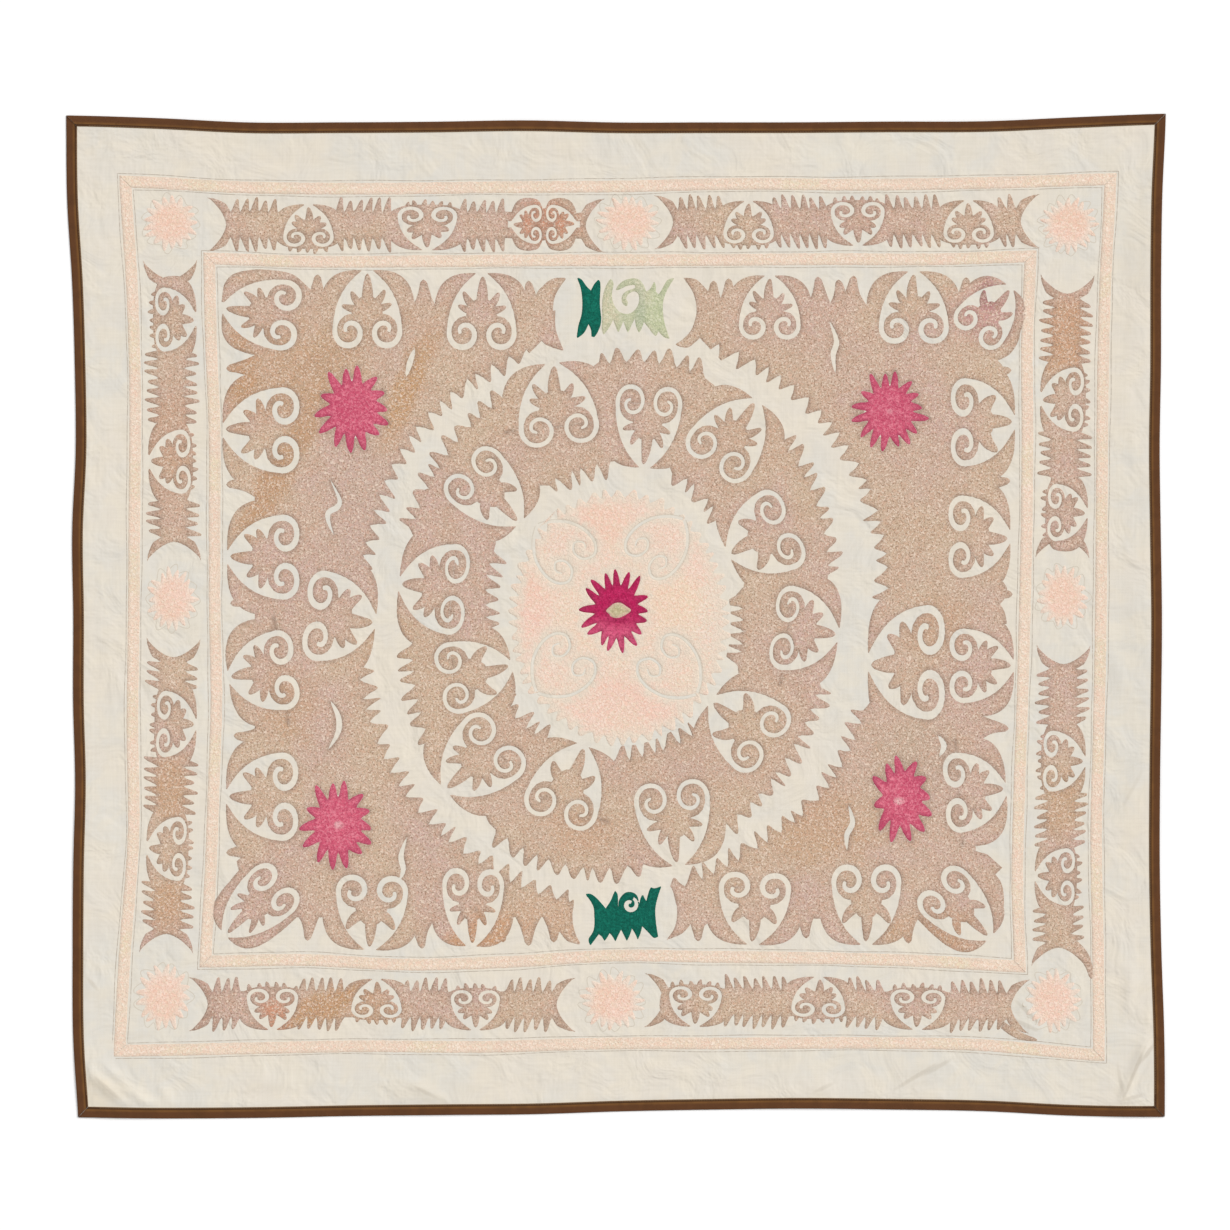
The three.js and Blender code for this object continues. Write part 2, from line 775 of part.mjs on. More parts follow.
// A run of the main border, drawn along +X from its start, then turned and moved

function runOutline(length, palmettes) {
  const outline = [];
  const bite = (start, direction) => {
    for (const turn of [60, 30, 0, -30, -60]) {
      const angle = THREE.MathUtils.degToRad(turn);
      const depth = hornBite * Math.cos(angle);
      outline.push(point(start + direction * depth, direction * runHalfWidth * Math.sin(angle)));
    }
  };
  const isClear = (middle) => palmettes.every(
    (palmette) => Math.abs(middle - palmette.along) > palmette.half + 15,
  );
  const edge = (facing) => {
    const first = hornBite + 14;
    const count = Math.round((length - 2 * first) / toothPitch);
    const pitch = (length - 2 * first) / count;
    const places = [point(hornBite * 0.6, facing * (runHalfWidth - 2))];
    for (let index = 0; index <= count; index += 1) {
      const along = first + index * pitch;
      const middle = along + pitch / 2;
      const clear = isClear(middle);
      if (index === 0 || index === count || clear || isClear(middle - pitch)) {
        places.push(point(along, facing * (runHalfWidth - toothDepth + 1.2 * uneven(index, 4))));
      }
      if (index < count && clear) {
        const reach = runHalfWidth - 2 + 2 * uneven(index, facing + length);
        places.push(point(middle + 3 * uneven(index, 9), facing * reach));
      }
    }
    places.push(point(length - hornBite * 0.6, facing * (runHalfWidth - 2)));
    return places;
  };
  outline.push(point(0, runHalfWidth));
  bite(0, 1);
  outline.push(point(0, -runHalfWidth), ...edge(-1), point(length, -runHalfWidth));
  bite(length, -1);
  outline.push(point(length, runHalfWidth), ...edge(1).reverse());
  return outline;
}

function borderRun(run) {
  const dx = run.to[0] - run.from[0];
  const dy = run.to[1] - run.from[1];
  const length = Math.hypot(dx, dy);
  const heading = Math.atan2(dy, dx);
  const start = point(...run.from);
  const turned = (place) => place.clone().rotateAround(point(0, 0), heading).add(start);
  const palmettes = run.palmettes.map((palmette) => {
    const middle = turned(point(palmette.along, palmette.across));
    const tip = THREE.MathUtils.radToDeg(heading) + palmette.tip;
    return { ...palmette, x: middle.x, y: middle.y, tip, foot: runFoot };
  });
  const mass = stitched(runOutline(length, run.palmettes).map(turned));
  return openPalmettes(addArches(mass, palmettes), palmettes);
}

// Green fillings: blocks with horns at their ends and teeth above and below

const greenBlocks = [
  {
    name: 'green_top_dark', slot: 'green',
    outline: [
      [-64, 592], [-52, 574], [-36, 578], [-30, 588], [-27, 586], [-27, 489],
      [-43, 494], [-62, 488], [-70, 489], [-54, 520], [-52, 552],
    ],
  },
  {
    name: 'green_top_light', slot: 'sage',
    outline: [
      [-23, 584], [-8, 572], [6, 588], [22, 574], [38, 590], [56, 576], [72, 580],
      [101, 590], [80, 560], [76, 520], [92, 484], [60, 504], [42, 497], [30, 510],
      [20, 495], [12, 508], [3, 498], [-8, 510], [-22, 496],
    ],
  },
  {
    name: 'green_bottom', slot: 'green',
    outline: [
      [-53, -481], [-28, -494], [-19, -507], [-4, -474], [3, -500], [20, -480], [34, -480],
      [38, -494], [46, -477], [50, -496], [58, -467], [74, -469], [66, -500], [68, -530],
      [72, -562], [62, -562], [42, -541], [36, -564], [28, -546], [16, -568], [6, -548],
      [-6, -566], [-14, -550], [-24, -566], [-30, -556], [-44, -574], [-53, -574],
      [-46, -540], [-48, -505],
    ],
  },
];

function greenBlock(block) {
  const outline = block.outline.map(([x, y]) => point(x, y));
  return stitched(THREE.ShapeUtils.isClockWise(outline) ? outline.reverse() : outline);
}

// The room of a star in the thread around it
function starClearance(star) {
  const { wide, tall, waist = 0.7 } = star;
  return cutter(starOutline({ ...star, wide: wide + 3, tall: tall + 3, waist: waist + 0.04 }));
}

// The whole cloth

addNode('ground_cloth', groundCloth(), 'ground');

for (const side of sides) {
  addNode(`binding_${side.name}`, bindingStrip(side.name, side.stations), 'binding');
}

for (const side of sides) {
  addNode(`outer_band_${side.name}`, bandRun(outerBandEdge, side.name, 7), 'peach');
  addNode(`inner_band_${side.name}`, bandRun(innerBandEdge, side.name, 7), 'peach');
}

let fieldLeft = fieldMass(fieldCorners.left, leftPalmettes, leftTeeth);
let fieldRight = fieldMass(fieldCorners.right, rightPalmettes, rightTeeth);
for (const star of roseStars) {
  fieldLeft = fieldLeft.subtract(starClearance(star));
  fieldRight = fieldRight.subtract(starClearance(star));
}
addNode('field_left', mainBody(fieldLeft), 'tan');
addNode('field_right', mainBody(fieldRight), 'tan');
addNode('medallion_ring', mainBody(medallionRing()), 'tan');

const centreStar = { x: 3, y: 10, petals: 17, wide: 61, tall: 75, turn: 5, waist: 0.66, seed: 2 };
const centre = toothedRing(medallion.centre, ringTeeth.centre, centreTooth, 11);
addNode('medallion_centre', mainBody(stitched(centre).subtract(starClearance(centreStar))), 'blush');
addNode('centre_star', mainBody(stitched(starOutline(centreStar))), 'magenta');

for (const star of roseStars) {
  addNode(star.name, mainBody(stitched(starOutline(star))), 'rose');
}

for (const run of borderRuns) {
  addNode(run.name, mainBody(borderRun(run)), 'tan');
}

for (const rosette of rosettes) {
  const outline = starOutline({ ...rosette, petals: 10, waist: 0.84 });
  addNode(rosette.name, mainBody(stitched(outline)), 'blush');
}

for (const block of greenBlocks) {
  addNode(block.name, mainBody(greenBlock(block)), block.slot);
}

export default group;
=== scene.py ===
import math
import bpy
import numpy as np
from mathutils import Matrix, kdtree
from mathutils.geometry import delaunay_2d_cdt


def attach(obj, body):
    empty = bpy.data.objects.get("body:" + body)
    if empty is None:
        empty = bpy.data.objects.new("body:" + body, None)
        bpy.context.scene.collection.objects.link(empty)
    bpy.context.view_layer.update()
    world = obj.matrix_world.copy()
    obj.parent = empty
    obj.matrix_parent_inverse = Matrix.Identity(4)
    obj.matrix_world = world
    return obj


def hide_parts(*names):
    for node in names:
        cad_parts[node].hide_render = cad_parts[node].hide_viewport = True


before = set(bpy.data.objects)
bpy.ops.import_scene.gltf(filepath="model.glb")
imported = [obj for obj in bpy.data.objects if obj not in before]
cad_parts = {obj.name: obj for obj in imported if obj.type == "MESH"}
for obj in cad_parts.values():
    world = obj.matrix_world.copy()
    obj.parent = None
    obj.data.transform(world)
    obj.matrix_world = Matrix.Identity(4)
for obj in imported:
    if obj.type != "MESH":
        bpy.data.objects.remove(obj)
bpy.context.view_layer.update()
scene = bpy.context.scene

# Everything is drawn in millimetres and turned to metres as the meshes are made
mm = 0.001
sides = ("bottom", "right", "top", "left")

# Camera straight above the cloth, as the photograph is taken
cameraView = {"distance": 5082.4, "x": -1.7, "y": 0.9, "lens": 85.0, "sensor": 36.0}

cameraData = bpy.data.cameras.new("camera")
cameraData.lens = cameraView["lens"]
cameraData.sensor_width = cameraView["sensor"]
cameraData.clip_end = 50.0
camera = bpy.data.objects.new("camera", cameraData)
camera.location = (cameraView["x"] * mm, cameraView["y"] * mm, cameraView["distance"] * mm)
scene.collection.objects.link(camera)
scene.camera = camera
scene.view_settings.view_transform = "Standard"
print("camera placed")


def uneven(index, row=0.0):
    # a repeatable unevenness between -1 and 1
    wave = math.sin(index * 12.9898 + row * 78.233) * 43758.5453
    return 2 * (wave - math.floor(wave)) - 1


def ease(low, high, value):
    part = np.clip((value - low) / (high - low), 0.0, 1.0)
    return part * part * (3 - 2 * part)


def blendFour(before, start, end, after, part):
    # a smooth value between the middle two of four even steps
    slopeIn = (end - before) / 2
    slopeOut = (after - start) / 2
    square = part * part
    cube = square * part
    startShare = 2 * cube - 3 * square + 1
    endShare = 3 * square - 2 * cube
    inShare = cube - 2 * square + part
    return startShare * start + inShare * slopeIn + endShare * end + (cube - square) * slopeOut


def drawIn(values, t):
    values = np.asarray(values, float)
    steps = len(values) - 1
    cell = np.clip(np.floor(t * steps).astype(int), 0, steps - 1)
    before = values[np.maximum(cell - 1, 0)]
    after = values[np.minimum(cell + 2, steps)]
    return blendFour(before, values[cell], values[cell + 1], after, t * steps - cell)


def placeIn(edge, u, v):
    # the place in a wavy rectangle at u from left to right and v from bottom to top
    u = np.asarray(u, float)
    v = np.asarray(v, float)
    place = []
    for axis in (0, 1):
        low = edge["bottomLeft"][axis] * (1 - u) + edge["bottomRight"][axis] * u
        high = edge["topLeft"][axis] * (1 - u) + edge["topRight"][axis] * u
        place.append(low * (1 - v) + high * v)
    place[0] = place[0] + drawIn(edge["left"], v) * (1 - u) - drawIn(edge["right"], v) * u
    place[1] = place[1] + drawIn(edge["bottom"], u) * (1 - v) - drawIn(edge["top"], u) * v
    return place[0], place[1]


def edgeSize(edge):
    wide = edge["topRight"][0] - edge["topLeft"][0]
    tall = edge["topLeft"][1] - edge["bottomLeft"][1]
    return wide, tall


def sidePlace(edge, side, t, inset):
    # one side of a wavy rectangle at some inset, t from 0 to 1, counterclockwise
    wide, tall = edgeSize(edge)
    t = np.asarray(t, float)
    du = inset / wide + 0 * t
    dv = inset / tall + 0 * t
    u = du + (1 - 2 * du) * t
    v = dv + (1 - 2 * dv) * t
    if side == "bottom":
        return placeIn(edge, u, dv)
    if side == "right":
        return placeIn(edge, 1 - du, v)
    if side == "top":
        return placeIn(edge, 1 - u, 1 - dv)
    return placeIn(edge, du, 1 - v)


def flow(points, steps=6, closed=False):
    # a smooth line through the points
    points = np.asarray(points, float)
    count = len(points)
    spans = count if closed else count - 1
    line = []
    for span in range(spans):
        if closed:
            four = [points[(span + k) % count] for k in (-1, 0, 1, 2)]
        else:
            four = [points[min(max(span + k, 0), count - 1)] for k in (-1, 0, 1, 2)]
        for step in range(steps):
            line.append(blendFour(*four, step / steps))
    if not closed:
        line.append(points[-1])
    return np.array(line)


def joined(parts):
    # one outline of smooth parts: each goes on from the last point before it, with a sharp point there
    lines = [flow(parts[0], 5)]
    for before, part in zip(parts, parts[1:]):
        lines.append(flow([before[-1], *part], 5))
    return np.concatenate(lines)


def bezier(start, first, second, end, count):
    start, first, second, end = (np.asarray(p, float) for p in (start, first, second, end))
    t = np.linspace(0, 1, count)[:, None]
    return ((1 - t) ** 3 * start + 3 * (1 - t) ** 2 * t * first
            + 3 * (1 - t) * t ** 2 * second + t ** 3 * end)


def turned(points, degrees, x=0.0, y=0.0):
    angle = math.radians(degrees)
    points = np.asarray(points, float)
    newX = points[:, 0] * math.cos(angle) - points[:, 1] * math.sin(angle) + x
    newY = points[:, 0] * math.sin(angle) + points[:, 1] * math.cos(angle) + y
    return np.stack([newX, newY], 1)


def tone(red, green, blue):
    # a colour as it looks on screen, turned to the linear values that the shader takes
    def linear(value):
        value = value / 255
        return value / 12.92 if value <= 0.04045 else ((value + 0.055) / 1.055) ** 2.4
    return (linear(red), linear(green), linear(blue), 1.0)


def newGroup(name, inputs, outputs):
    # a group that reads a place on the surface, and further numbers or vectors
    group = bpy.data.node_groups.new(name, "ShaderNodeTree")
    group.interface.new_socket("Vector", in_out="INPUT", socket_type="NodeSocketVector")
    for label, value in inputs.items():
        kind = "NodeSocketVector" if isinstance(value, tuple) else "NodeSocketFloat"
        group.interface.new_socket(label, in_out="INPUT", socket_type=kind).default_value = value
    for label in outputs:
        group.interface.new_socket(label, in_out="OUTPUT", socket_type="NodeSocketFloat")
    return group, group.nodes.new("NodeGroupInput").outputs, group.nodes.new("NodeGroupOutput").inputs


def feed(tree, node, values):
    # a plain value goes on the node's socket, another node's output is linked to it
    for key, value in values.items():
        if isinstance(value, bpy.types.NodeSocket):
            tree.links.new(value, node.inputs[key])
        else:
            node.inputs[key].default_value = value
    return node


def addNode(tree, kind, values, **settings):
    node = tree.nodes.new(kind)
    for key, value in settings.items():
        setattr(node, key, value)
    return feed(tree, node, values)


def addMath(tree, operation, first, second):
    return addNode(tree, "ShaderNodeMath", {0: first, 1: second}, operation=operation).outputs[0]


def addShare(tree, value, share):
    return addMath(tree, "MULTIPLY", value, share)


def addMix(tree, share, first, second):
    return addNode(tree, "ShaderNodeMix", {0: share, 6: first, 7: second}, data_type="RGBA").outputs[2]


def addRange(tree, value, low, high, newLow=0.0, newHigh=1.0):
    return addNode(tree, "ShaderNodeMapRange", {0: value, 1: low, 2: high, 3: newLow, 4: newHigh},
                   interpolation_type="SMOOTHSTEP").outputs[0]


def addVector(tree, operation, first, second):
    return addNode(tree, "ShaderNodeVectorMath", {0: first, 1: second}, operation=operation).outputs[0]


def addNoise(tree, vector, scale, detail, **more):
    values = {"Vector": vector, "Scale": scale, "Detail": detail, **more}
    return addNode(tree, "ShaderNodeTexNoise", values).outputs["Fac"]


def readValue(tree, name):
    # a value that each piece carries at its points
    return addNode(tree, "ShaderNodeAttribute", {}, attribute_name=name).outputs["Fac"]


def makeWeaveGroup():
    # over and under threads, with thick and thin ones among them
    group, start, end = newGroup("plainWeave", {"Threads": 700.0, "Slub": 0.4}, ("Height", "Shade"))
    heights = []
    for direction in ("X", "Y"):
        heights.append(addNode(group, "ShaderNodeTexWave", {
            "Vector": start["Vector"], "Scale": start["Threads"],
            "Distortion": 1.2, "Detail": 1.0, "Detail Scale": 0.6,
        }, wave_type="BANDS", bands_direction=direction).outputs["Fac"])
    threads = addMath(group, "MAXIMUM", *heights)
    slubs = []
    for stretch in ((14.0, 260.0, 1.0), (260.0, 14.0, 1.0)):
        slubs.append(addNoise(group, addVector(group, "MULTIPLY", start["Vector"], stretch), 1.0, 2.0))
    slub = addRange(group, addMath(group, "ADD", *slubs), 0.8, 1.25)
    lifted = addShare(group, slub, start["Slub"])
    group.links.new(addMath(group, "ADD", threads, lifted), end["Height"])
    group.links.new(slub, end["Shade"])
    return group


def makeStitchGroup():
    # short couched stitches that run in curled rows, with gaps between them
    group, start, end = newGroup("couchedStitches", {"Size": 210.0, "Curl": 0.6},
                                 ("Height", "Light", "Dark", "Cell"))
    vector = start["Vector"]
    rows = addNoise(group, vector, start["Size"], 2.5, Roughness=0.65, Distortion=start["Curl"])
    cells = addNode(group, "ShaderNodeTexVoronoi", {
        "Vector": vector, "Scale": addShare(group, start["Size"], 1.15),
    })
    loops = addRange(group, rows, 0.36, 0.62)
    knots = addRange(group, cells.outputs["Distance"], 0.0, 0.75, 1.0, 0.0)
    specks = addNoise(group, vector, addShare(group, start["Size"], 1.25), 1.0)
    parts = addNode(group, "ShaderNodeSeparateColor", {0: cells.outputs["Color"]})
    group.links.new(addMath(group, "ADD", loops, addShare(group, knots, 0.45)), end["Height"])
    group.links.new(addRange(group, rows, 0.49, 0.64), end["Light"])
    group.links.new(addRange(group, specks, 0.53, 0.70), end["Dark"])
    group.links.new(parts.outputs[0], end["Cell"])
    return group


def makeFadeGroup():
    # large soft patches, where light and washing have changed the colour
    group, start, end = newGroup("fadedPatches", {"Patches": 5.0}, ("Wide", "Small"))
    for label, factor, low, high in (("Wide", 1.0, 0.38, 0.62), ("Small", 7.0, 0.36, 0.66)):
        noise = addNoise(group, start["Vector"], addShare(group, start["Patches"], factor), 3.0,
                         Roughness=0.55, Distortion=0.4)
        group.links.new(addRange(group, noise, low, high), end[label])
    return group


def makeSpotGroup():
    # one soft stain about a place
    group, start, end = newGroup("softStain", {
        "Middle": (0.0, 0.0, 0.0), "Reach": (0.05, 0.05, 1.0), "Turn": 0.0, "Strength": 1.0,
    }, ("Mask",))
    away = addVector(group, "SUBTRACT", start["Vector"], start["Middle"])
    lean = addNode(group, "ShaderNodeVectorRotate", {
        "Vector": away, "Angle": addShare(group, start["Turn"], -1.0),
    }, rotation_type="Z_AXIS").outputs[0]
    flat = addVector(group, "MULTIPLY", addVector(group, "DIVIDE", lean, start["Reach"]), (1.0, 1.0, 0.0))
    far = addNode(group, "ShaderNodeVectorMath", {0: flat}, operation="LENGTH").outputs["Value"]
    ragged = addNoise(group, start["Vector"], 24.0, 3.0)
    edge = addShare(group, addMath(group, "SUBTRACT", ragged, 0.5), 1.1)
    mask = addRange(group, addMath(group, "ADD", far, edge), 0.35, 1.15, 1.0, 0.0)
    group.links.new(addShare(group, mask, start["Strength"]), end["Mask"])
    return group


weaveGroup = makeWeaveGroup()
stitchGroup = makeStitchGroup()
fadeGroup = makeFadeGroup()
spotGroup = makeSpotGroup()


def useGroup(tree, group, values):
    node = tree.nodes.new("ShaderNodeGroup")
    node.node_tree = group
    return feed(tree, node, values).outputs


def newMaterial(name, rough, sheen):
    material = bpy.data.materials.new(name)
    material.use_nodes = True
    tree = material.node_tree
    shader = tree.nodes["Principled BSDF"]
    feed(tree, shader, {"Roughness": rough, "Specular IOR Level": 0.2, "Sheen Weight": sheen,
                        "Sheen Roughness": 0.5})
    return material, tree, shader, tree.nodes.new("ShaderNodeTexCoord").outputs["Object"]


def addBump(tree, height, distance, **more):
    values = {"Height": height, "Distance": distance, **more}
    return addNode(tree, "ShaderNodeBump", values).outputs["Normal"]


def addStains(tree, vector, colour, stains):
    # each stain is a place, its half width and height, a turn, a strength and a colour
    for x, y, wide, tall, turn, strength, shade in stains:
        mask = useGroup(tree, spotGroup, {
            "Vector": vector, "Middle": (x * mm, y * mm, 0.0), "Reach": (wide * mm, tall * mm, 1.0),
            "Turn": math.radians(turn), "Strength": strength,
        })["Mask"]
        colour = addMix(tree, mask, colour, shade)
    return colour


clothFinish = {
    "plain": tone(231, 222, 208), "cool": tone(226, 221, 211), "warm": tone(237, 226, 206),
    "slubTone": tone(211, 202, 186), "threads": 380.0, "slub": 1.4, "bump": 0.00006,
    "wrinkles": 13.0, "wrinkleDepth": 0.007,
    "stains": [
        (-900, -835, 60, 40, 0, 0.35, tone(224, 208, 180)),
        (915, 640, 40, 120, 0, 0.3, tone(222, 210, 190)),
        (-320, -835, 120, 30, 0, 0.3, tone(221, 212, 196)),
        (420, 812, 160, 26, 0, 0.25, tone(238, 230, 212)),
    ],
    # painted shade of the folds: darker streaks where crease shadows fall, each a place, half its length, a
    # turn and a strength
    "foldShade": tone(196, 186, 170), "foldShadeWidth": 4.5,
    "foldShadeStreaks": [
        (906, -798, 62, 67, 0.6), (930, -764, 28, 52, 0.5), (883, -818, 38, -80, 0.35),
        (905, -842, 26, 14, 0.4), (525, -806, 44, 32, 0.4), (562, -790, 34, 29, 0.35),
        (-889, -826, 48, -42, 0.4),
        (-335, -832, 36, -27, 0.4), (718, -692, 34, -44, 0.5), (716, -716, 32, -24, 0.45),
        (-914, -646, 18, -50, 0.35), (360, -827, 24, 25, 0.3), (902, -305, 40, 62, 0.2),
    ],
}


def makeClothMaterial():
    material, tree, shader, vector = newMaterial("cotton_cloth", 0.92, 0.12)
    fade = useGroup(tree, fadeGroup, {"Vector": vector, "Patches": 3.4})
    weave = useGroup(tree, weaveGroup, {
        "Vector": vector, "Threads": clothFinish["threads"], "Slub": clothFinish["slub"],
    })
    colour = addMix(tree, fade["Wide"], clothFinish["plain"], clothFinish["cool"])
    colour = addMix(tree, addShare(tree, fade["Small"], 0.45), colour, clothFinish["warm"])
    colour = addMix(tree, addShare(tree, weave["Shade"], 0.16), colour, clothFinish["slubTone"])
    # the painted fold shade goes on with the stains, as darker streaks along the creases
    foldShadeStreaks = [(x, y, wide, clothFinish["foldShadeWidth"], turn, strength, clothFinish["foldShade"])
             for x, y, wide, turn, strength in clothFinish["foldShadeStreaks"]]
    colour = addStains(tree, vector, colour, clothFinish["stains"] + foldShadeStreaks)
    wrinkle = addNoise(tree, vector, clothFinish["wrinkles"], 3.0, Roughness=0.6, Distortion=0.8)
    soft = addBump(tree, wrinkle, clothFinish["wrinkleDepth"])
    bump = addBump(tree, weave["Height"], clothFinish["bump"], Normal=soft)
    feed(tree, shader, {"Base Color": colour, "Normal": bump})
    return material


tanFinish = {
    "plain": tone(215, 189, 162), "mauve": tone(213, 180, 168), "grey": tone(148, 124, 110),
    "light": tone(238, 217, 198), "dark": tone(163, 128, 104), "size": 275.0, "bump": 0.0005,
    "patch": tone(203, 170, 142), "patchShare": 0.5,
    "warm": tone(222, 177, 150), "cool": tone(192, 171, 146),
    "lightShare": 0.8, "darkShare": 0.85, "edgeShare": 0.36,
    "stains": [
        (-560, 420, 150, 110, 0, 0.8, tone(204, 166, 128)),
        (-365, 395, 30, 150, -22, 0.9, tone(203, 158, 112)),
        (-590, 250, 36, 190, -28, 0.85, tone(199, 154, 114)),
        (-470, 470, 150, 26, 30, 0.4, tone(190, 148, 116)),
        (-440, 190, 90, 180, 0, 0.5, tone(206, 178, 166)),
        (-660, 420, 36, 130, 0, 0.7, tone(199, 152, 110)),
        (-575, -160, 60, 90, 0, 0.6, tone(205, 165, 126)),
        (-400, -60, 50, 90, 0, 0.5, tone(201, 160, 118)),
        (366, -368, 110, 80, 0, 0.6, tone(206, 164, 124)),
        (-230, -560, 90, 50, 28, 0.9, tone(211, 158, 114)),
        (-120, -540, 90, 50, 0, 0.6, tone(214, 172, 140)),
        (560, -560, 110, 50, 0, 0.7, tone(202, 158, 118)),
        (520, -260, 90, 120, 0, 0.45, tone(192, 170, 146)),
        (640, 530, 70, 60, 0, 0.75, tone(206, 150, 148)),
        (655, 560, 20, 28, 0, 0.8, tone(168, 96, 112)),
        (785, 490, 60, 90, 0, 0.85, tone(209, 160, 122)),
        (-520, -690, 110, 34, 24, 0.95, tone(200, 152, 106)),
        (-420, -690, 60, 60, 0, 0.6, tone(204, 160, 118)),
        (-730, -690, 50, 60, 0, 0.7, tone(182, 146, 130)),
        (-780, -300, 50, 70, 0, 0.7, tone(203, 160, 118)),
        (-780, -510, 50, 60, 0, 0.7, tone(203, 160, 118)),
        (-120, 688, 66, 52, 0, 0.9, tone(213, 146, 116)),
        (-596, -700, 34, 40, 0, 0.9, tone(212, 144, 110)),
        (-780, 300, 60, 120, 0, 0.5, tone(205, 162, 122)),
        (785, -330, 60, 70, 0, 0.5, tone(200, 158, 118)),
        (440, 690, 70, 60, 0, 0.4, tone(208, 168, 146)),
        (20, -200, 420, 120, 0, 0.3, tone(208, 176, 148)),
        (250, 330, 130, 90, 0, 0.4, tone(210, 174, 150)),
        (-60, -380, 70, 50, 0, 0.6, tone(209, 166, 134)),
        (560, -20, 70, 60, 0, 0.6, tone(206, 164, 134)),
    ],
}


def makeThreadMaterial(name, finish):
    # stitched thread: a darker edge, pale and dark flecks, and patches of age
    material, tree, shader, vector = newMaterial(name, 0.8, finish.get("sheen", 0.2))
    fade = useGroup(tree, fadeGroup, {"Vector": vector, "Patches": finish.get("patches", 4.2)})
    stitch = useGroup(tree, stitchGroup, {"Vector": vector, "Size": finish["size"], "Curl": 0.7})
    colour = addMix(tree, fade["Wide"], finish["plain"], finish["mauve"])
    if "patch" in finish:
        colour = addMix(tree, addShare(tree, fade["Small"], finish["patchShare"]), colour, finish["patch"])
    colour = addStains(tree, vector, colour, finish.get("stains", []))
    if "tint" in finish:
        colour = addMix(tree, readValue(tree, "tint"), colour, finish["tint"])
    warm = addRange(tree, stitch["Cell"], 0.55, 1.0)
    cool = addRange(tree, stitch["Cell"], 0.45, 0.0)
    for share, shade in (
        (addShare(tree, warm, 0.5), finish.get("warm", finish["light"])),
        (addShare(tree, cool, 0.5), finish.get("cool", finish["dark"])),
        (addShare(tree, stitch["Light"], finish["lightShare"]), finish["light"]),
        (addShare(tree, stitch["Dark"], finish["darkShare"]), finish["dark"]),
    ):
        colour = addMix(tree, share, colour, shade)
    near = addRange(tree, readValue(tree, "inward"), 0.0, 1.0, finish["edgeShare"], 0.0)
    ragged = addShare(tree, near, addMath(tree, "ADD", fade["Small"], 0.45))
    colour = addMix(tree, ragged, colour, finish["grey"])
    bump = addBump(tree, stitch["Height"], finish["bump"])
    feed(tree, shader, {"Base Color": colour, "Normal": bump})
    return material


peachFinish = {
    "plain": tone(245, 218, 197), "mauve": tone(246, 222, 200), "grey": tone(224, 205, 186),
    "light": tone(252, 236, 221), "dark": tone(228, 194, 169), "size": 260.0, "bump": 0.0005,
    "tint": tone(239, 222, 192), "warm": tone(246, 204, 184), "cool": tone(232, 220, 200),
    "lightShare": 0.7, "darkShare": 0.6, "edgeShare": 0.5,
}

blushFinish = {
    "plain": tone(247, 213, 195), "mauve": tone(244, 208, 186), "grey": tone(241, 222, 205),
    "light": tone(252, 231, 216), "dark": tone(230, 186, 160), "size": 240.0, "bump": 0.0005,
    "warm": tone(250, 202, 180), "cool": tone(238, 218, 190),
    "lightShare": 0.6, "darkShare": 0.55, "edgeShare": 0.75, "patches": 9.0,
}

centreFinish = {
    **blushFinish, "plain": tone(245, 215, 198), "mauve": tone(241, 220, 198), "grey": tone(237, 220, 201),
    "edgeShare": 0.95, "patches": 11.0,
    "stains": [
        (-30, 160, 70, 50, 0, 0.6, tone(248, 203, 182)),
        (-150, 20, 44, 70, 0, 0.6, tone(248, 200, 184)),
        (100, 20, 90, 60, 0, 0.6, tone(245, 219, 188)),
        (30, -150, 110, 60, 0, 0.5, tone(246, 205, 188)),
        (-60, -30, 60, 50, 0, 0.4, tone(243, 220, 190)),
        (170, -10, 40, 110, 0, 0.6, tone(238, 224, 208)),
        (-97, 116, 56, 60, 0, 0.4, tone(237, 222, 203)),
        (80, 122, 50, 60, 0, 0.3, tone(240, 221, 201)),
        (-99, -94, 58, 56, 0, 0.35, tone(238, 221, 201)),
        (100, -96, 56, 56, 0, 0.35, tone(238, 221, 200)),
    ],
}

roseFinish = {
    "plain": tone(221, 100, 124), "mauve": tone(213, 90, 118), "grey": tone(184, 70, 100),
    "light": tone(240, 146, 162), "dark": tone(186, 58, 92), "size": 250.0, "bump": 0.0006,
    "lightShare": 0.6, "darkShare": 0.6, "edgeShare": 0.65,
    "stains": [
        (-486, -366, 10, 8, 0, 1.0, tone(240, 190, 190)),
        (494, -325, 11, 8, 0, 1.0, tone(242, 200, 196)),
        (479, 357, 7, 6, 0, 0.6, tone(238, 176, 182)),
        (-430, -410, 50, 30, 0, 0.5, tone(200, 80, 110)),
    ],
}

magentaFinish = {
    "plain": tone(196, 28, 90), "mauve": tone(186, 22, 86), "grey": tone(150, 46, 78),
    "light": tone(214, 62, 116), "dark": tone(150, 12, 66), "size": 250.0, "bump": 0.0006,
    "lightShare": 0.35, "darkShare": 0.45, "edgeShare": 0.55, "sheen": 0.1,
    "stains": [
        (6, -44, 90, 44, 0, 1.0, tone(232, 104, 138)),
        (4, -9, 34, 6, 0, 0.6, tone(150, 14, 66)),
    ],
}

strayFinish = {
    **magentaFinish, "plain": tone(92, 26, 40), "mauve": tone(70, 30, 34), "grey": tone(60, 26, 30),
    "light": tone(120, 50, 60), "dark": tone(50, 16, 24),
    "stains": [],
}

eyeFinish = {
    "plain": tone(206, 188, 148), "mauve": tone(190, 190, 144), "grey": tone(222, 190, 168),
    "light": tone(226, 214, 180), "dark": tone(172, 158, 120), "size": 260.0, "bump": 0.0006,
    "lightShare": 0.4, "darkShare": 0.4, "edgeShare": 0.9, "patches": 30.0,
}

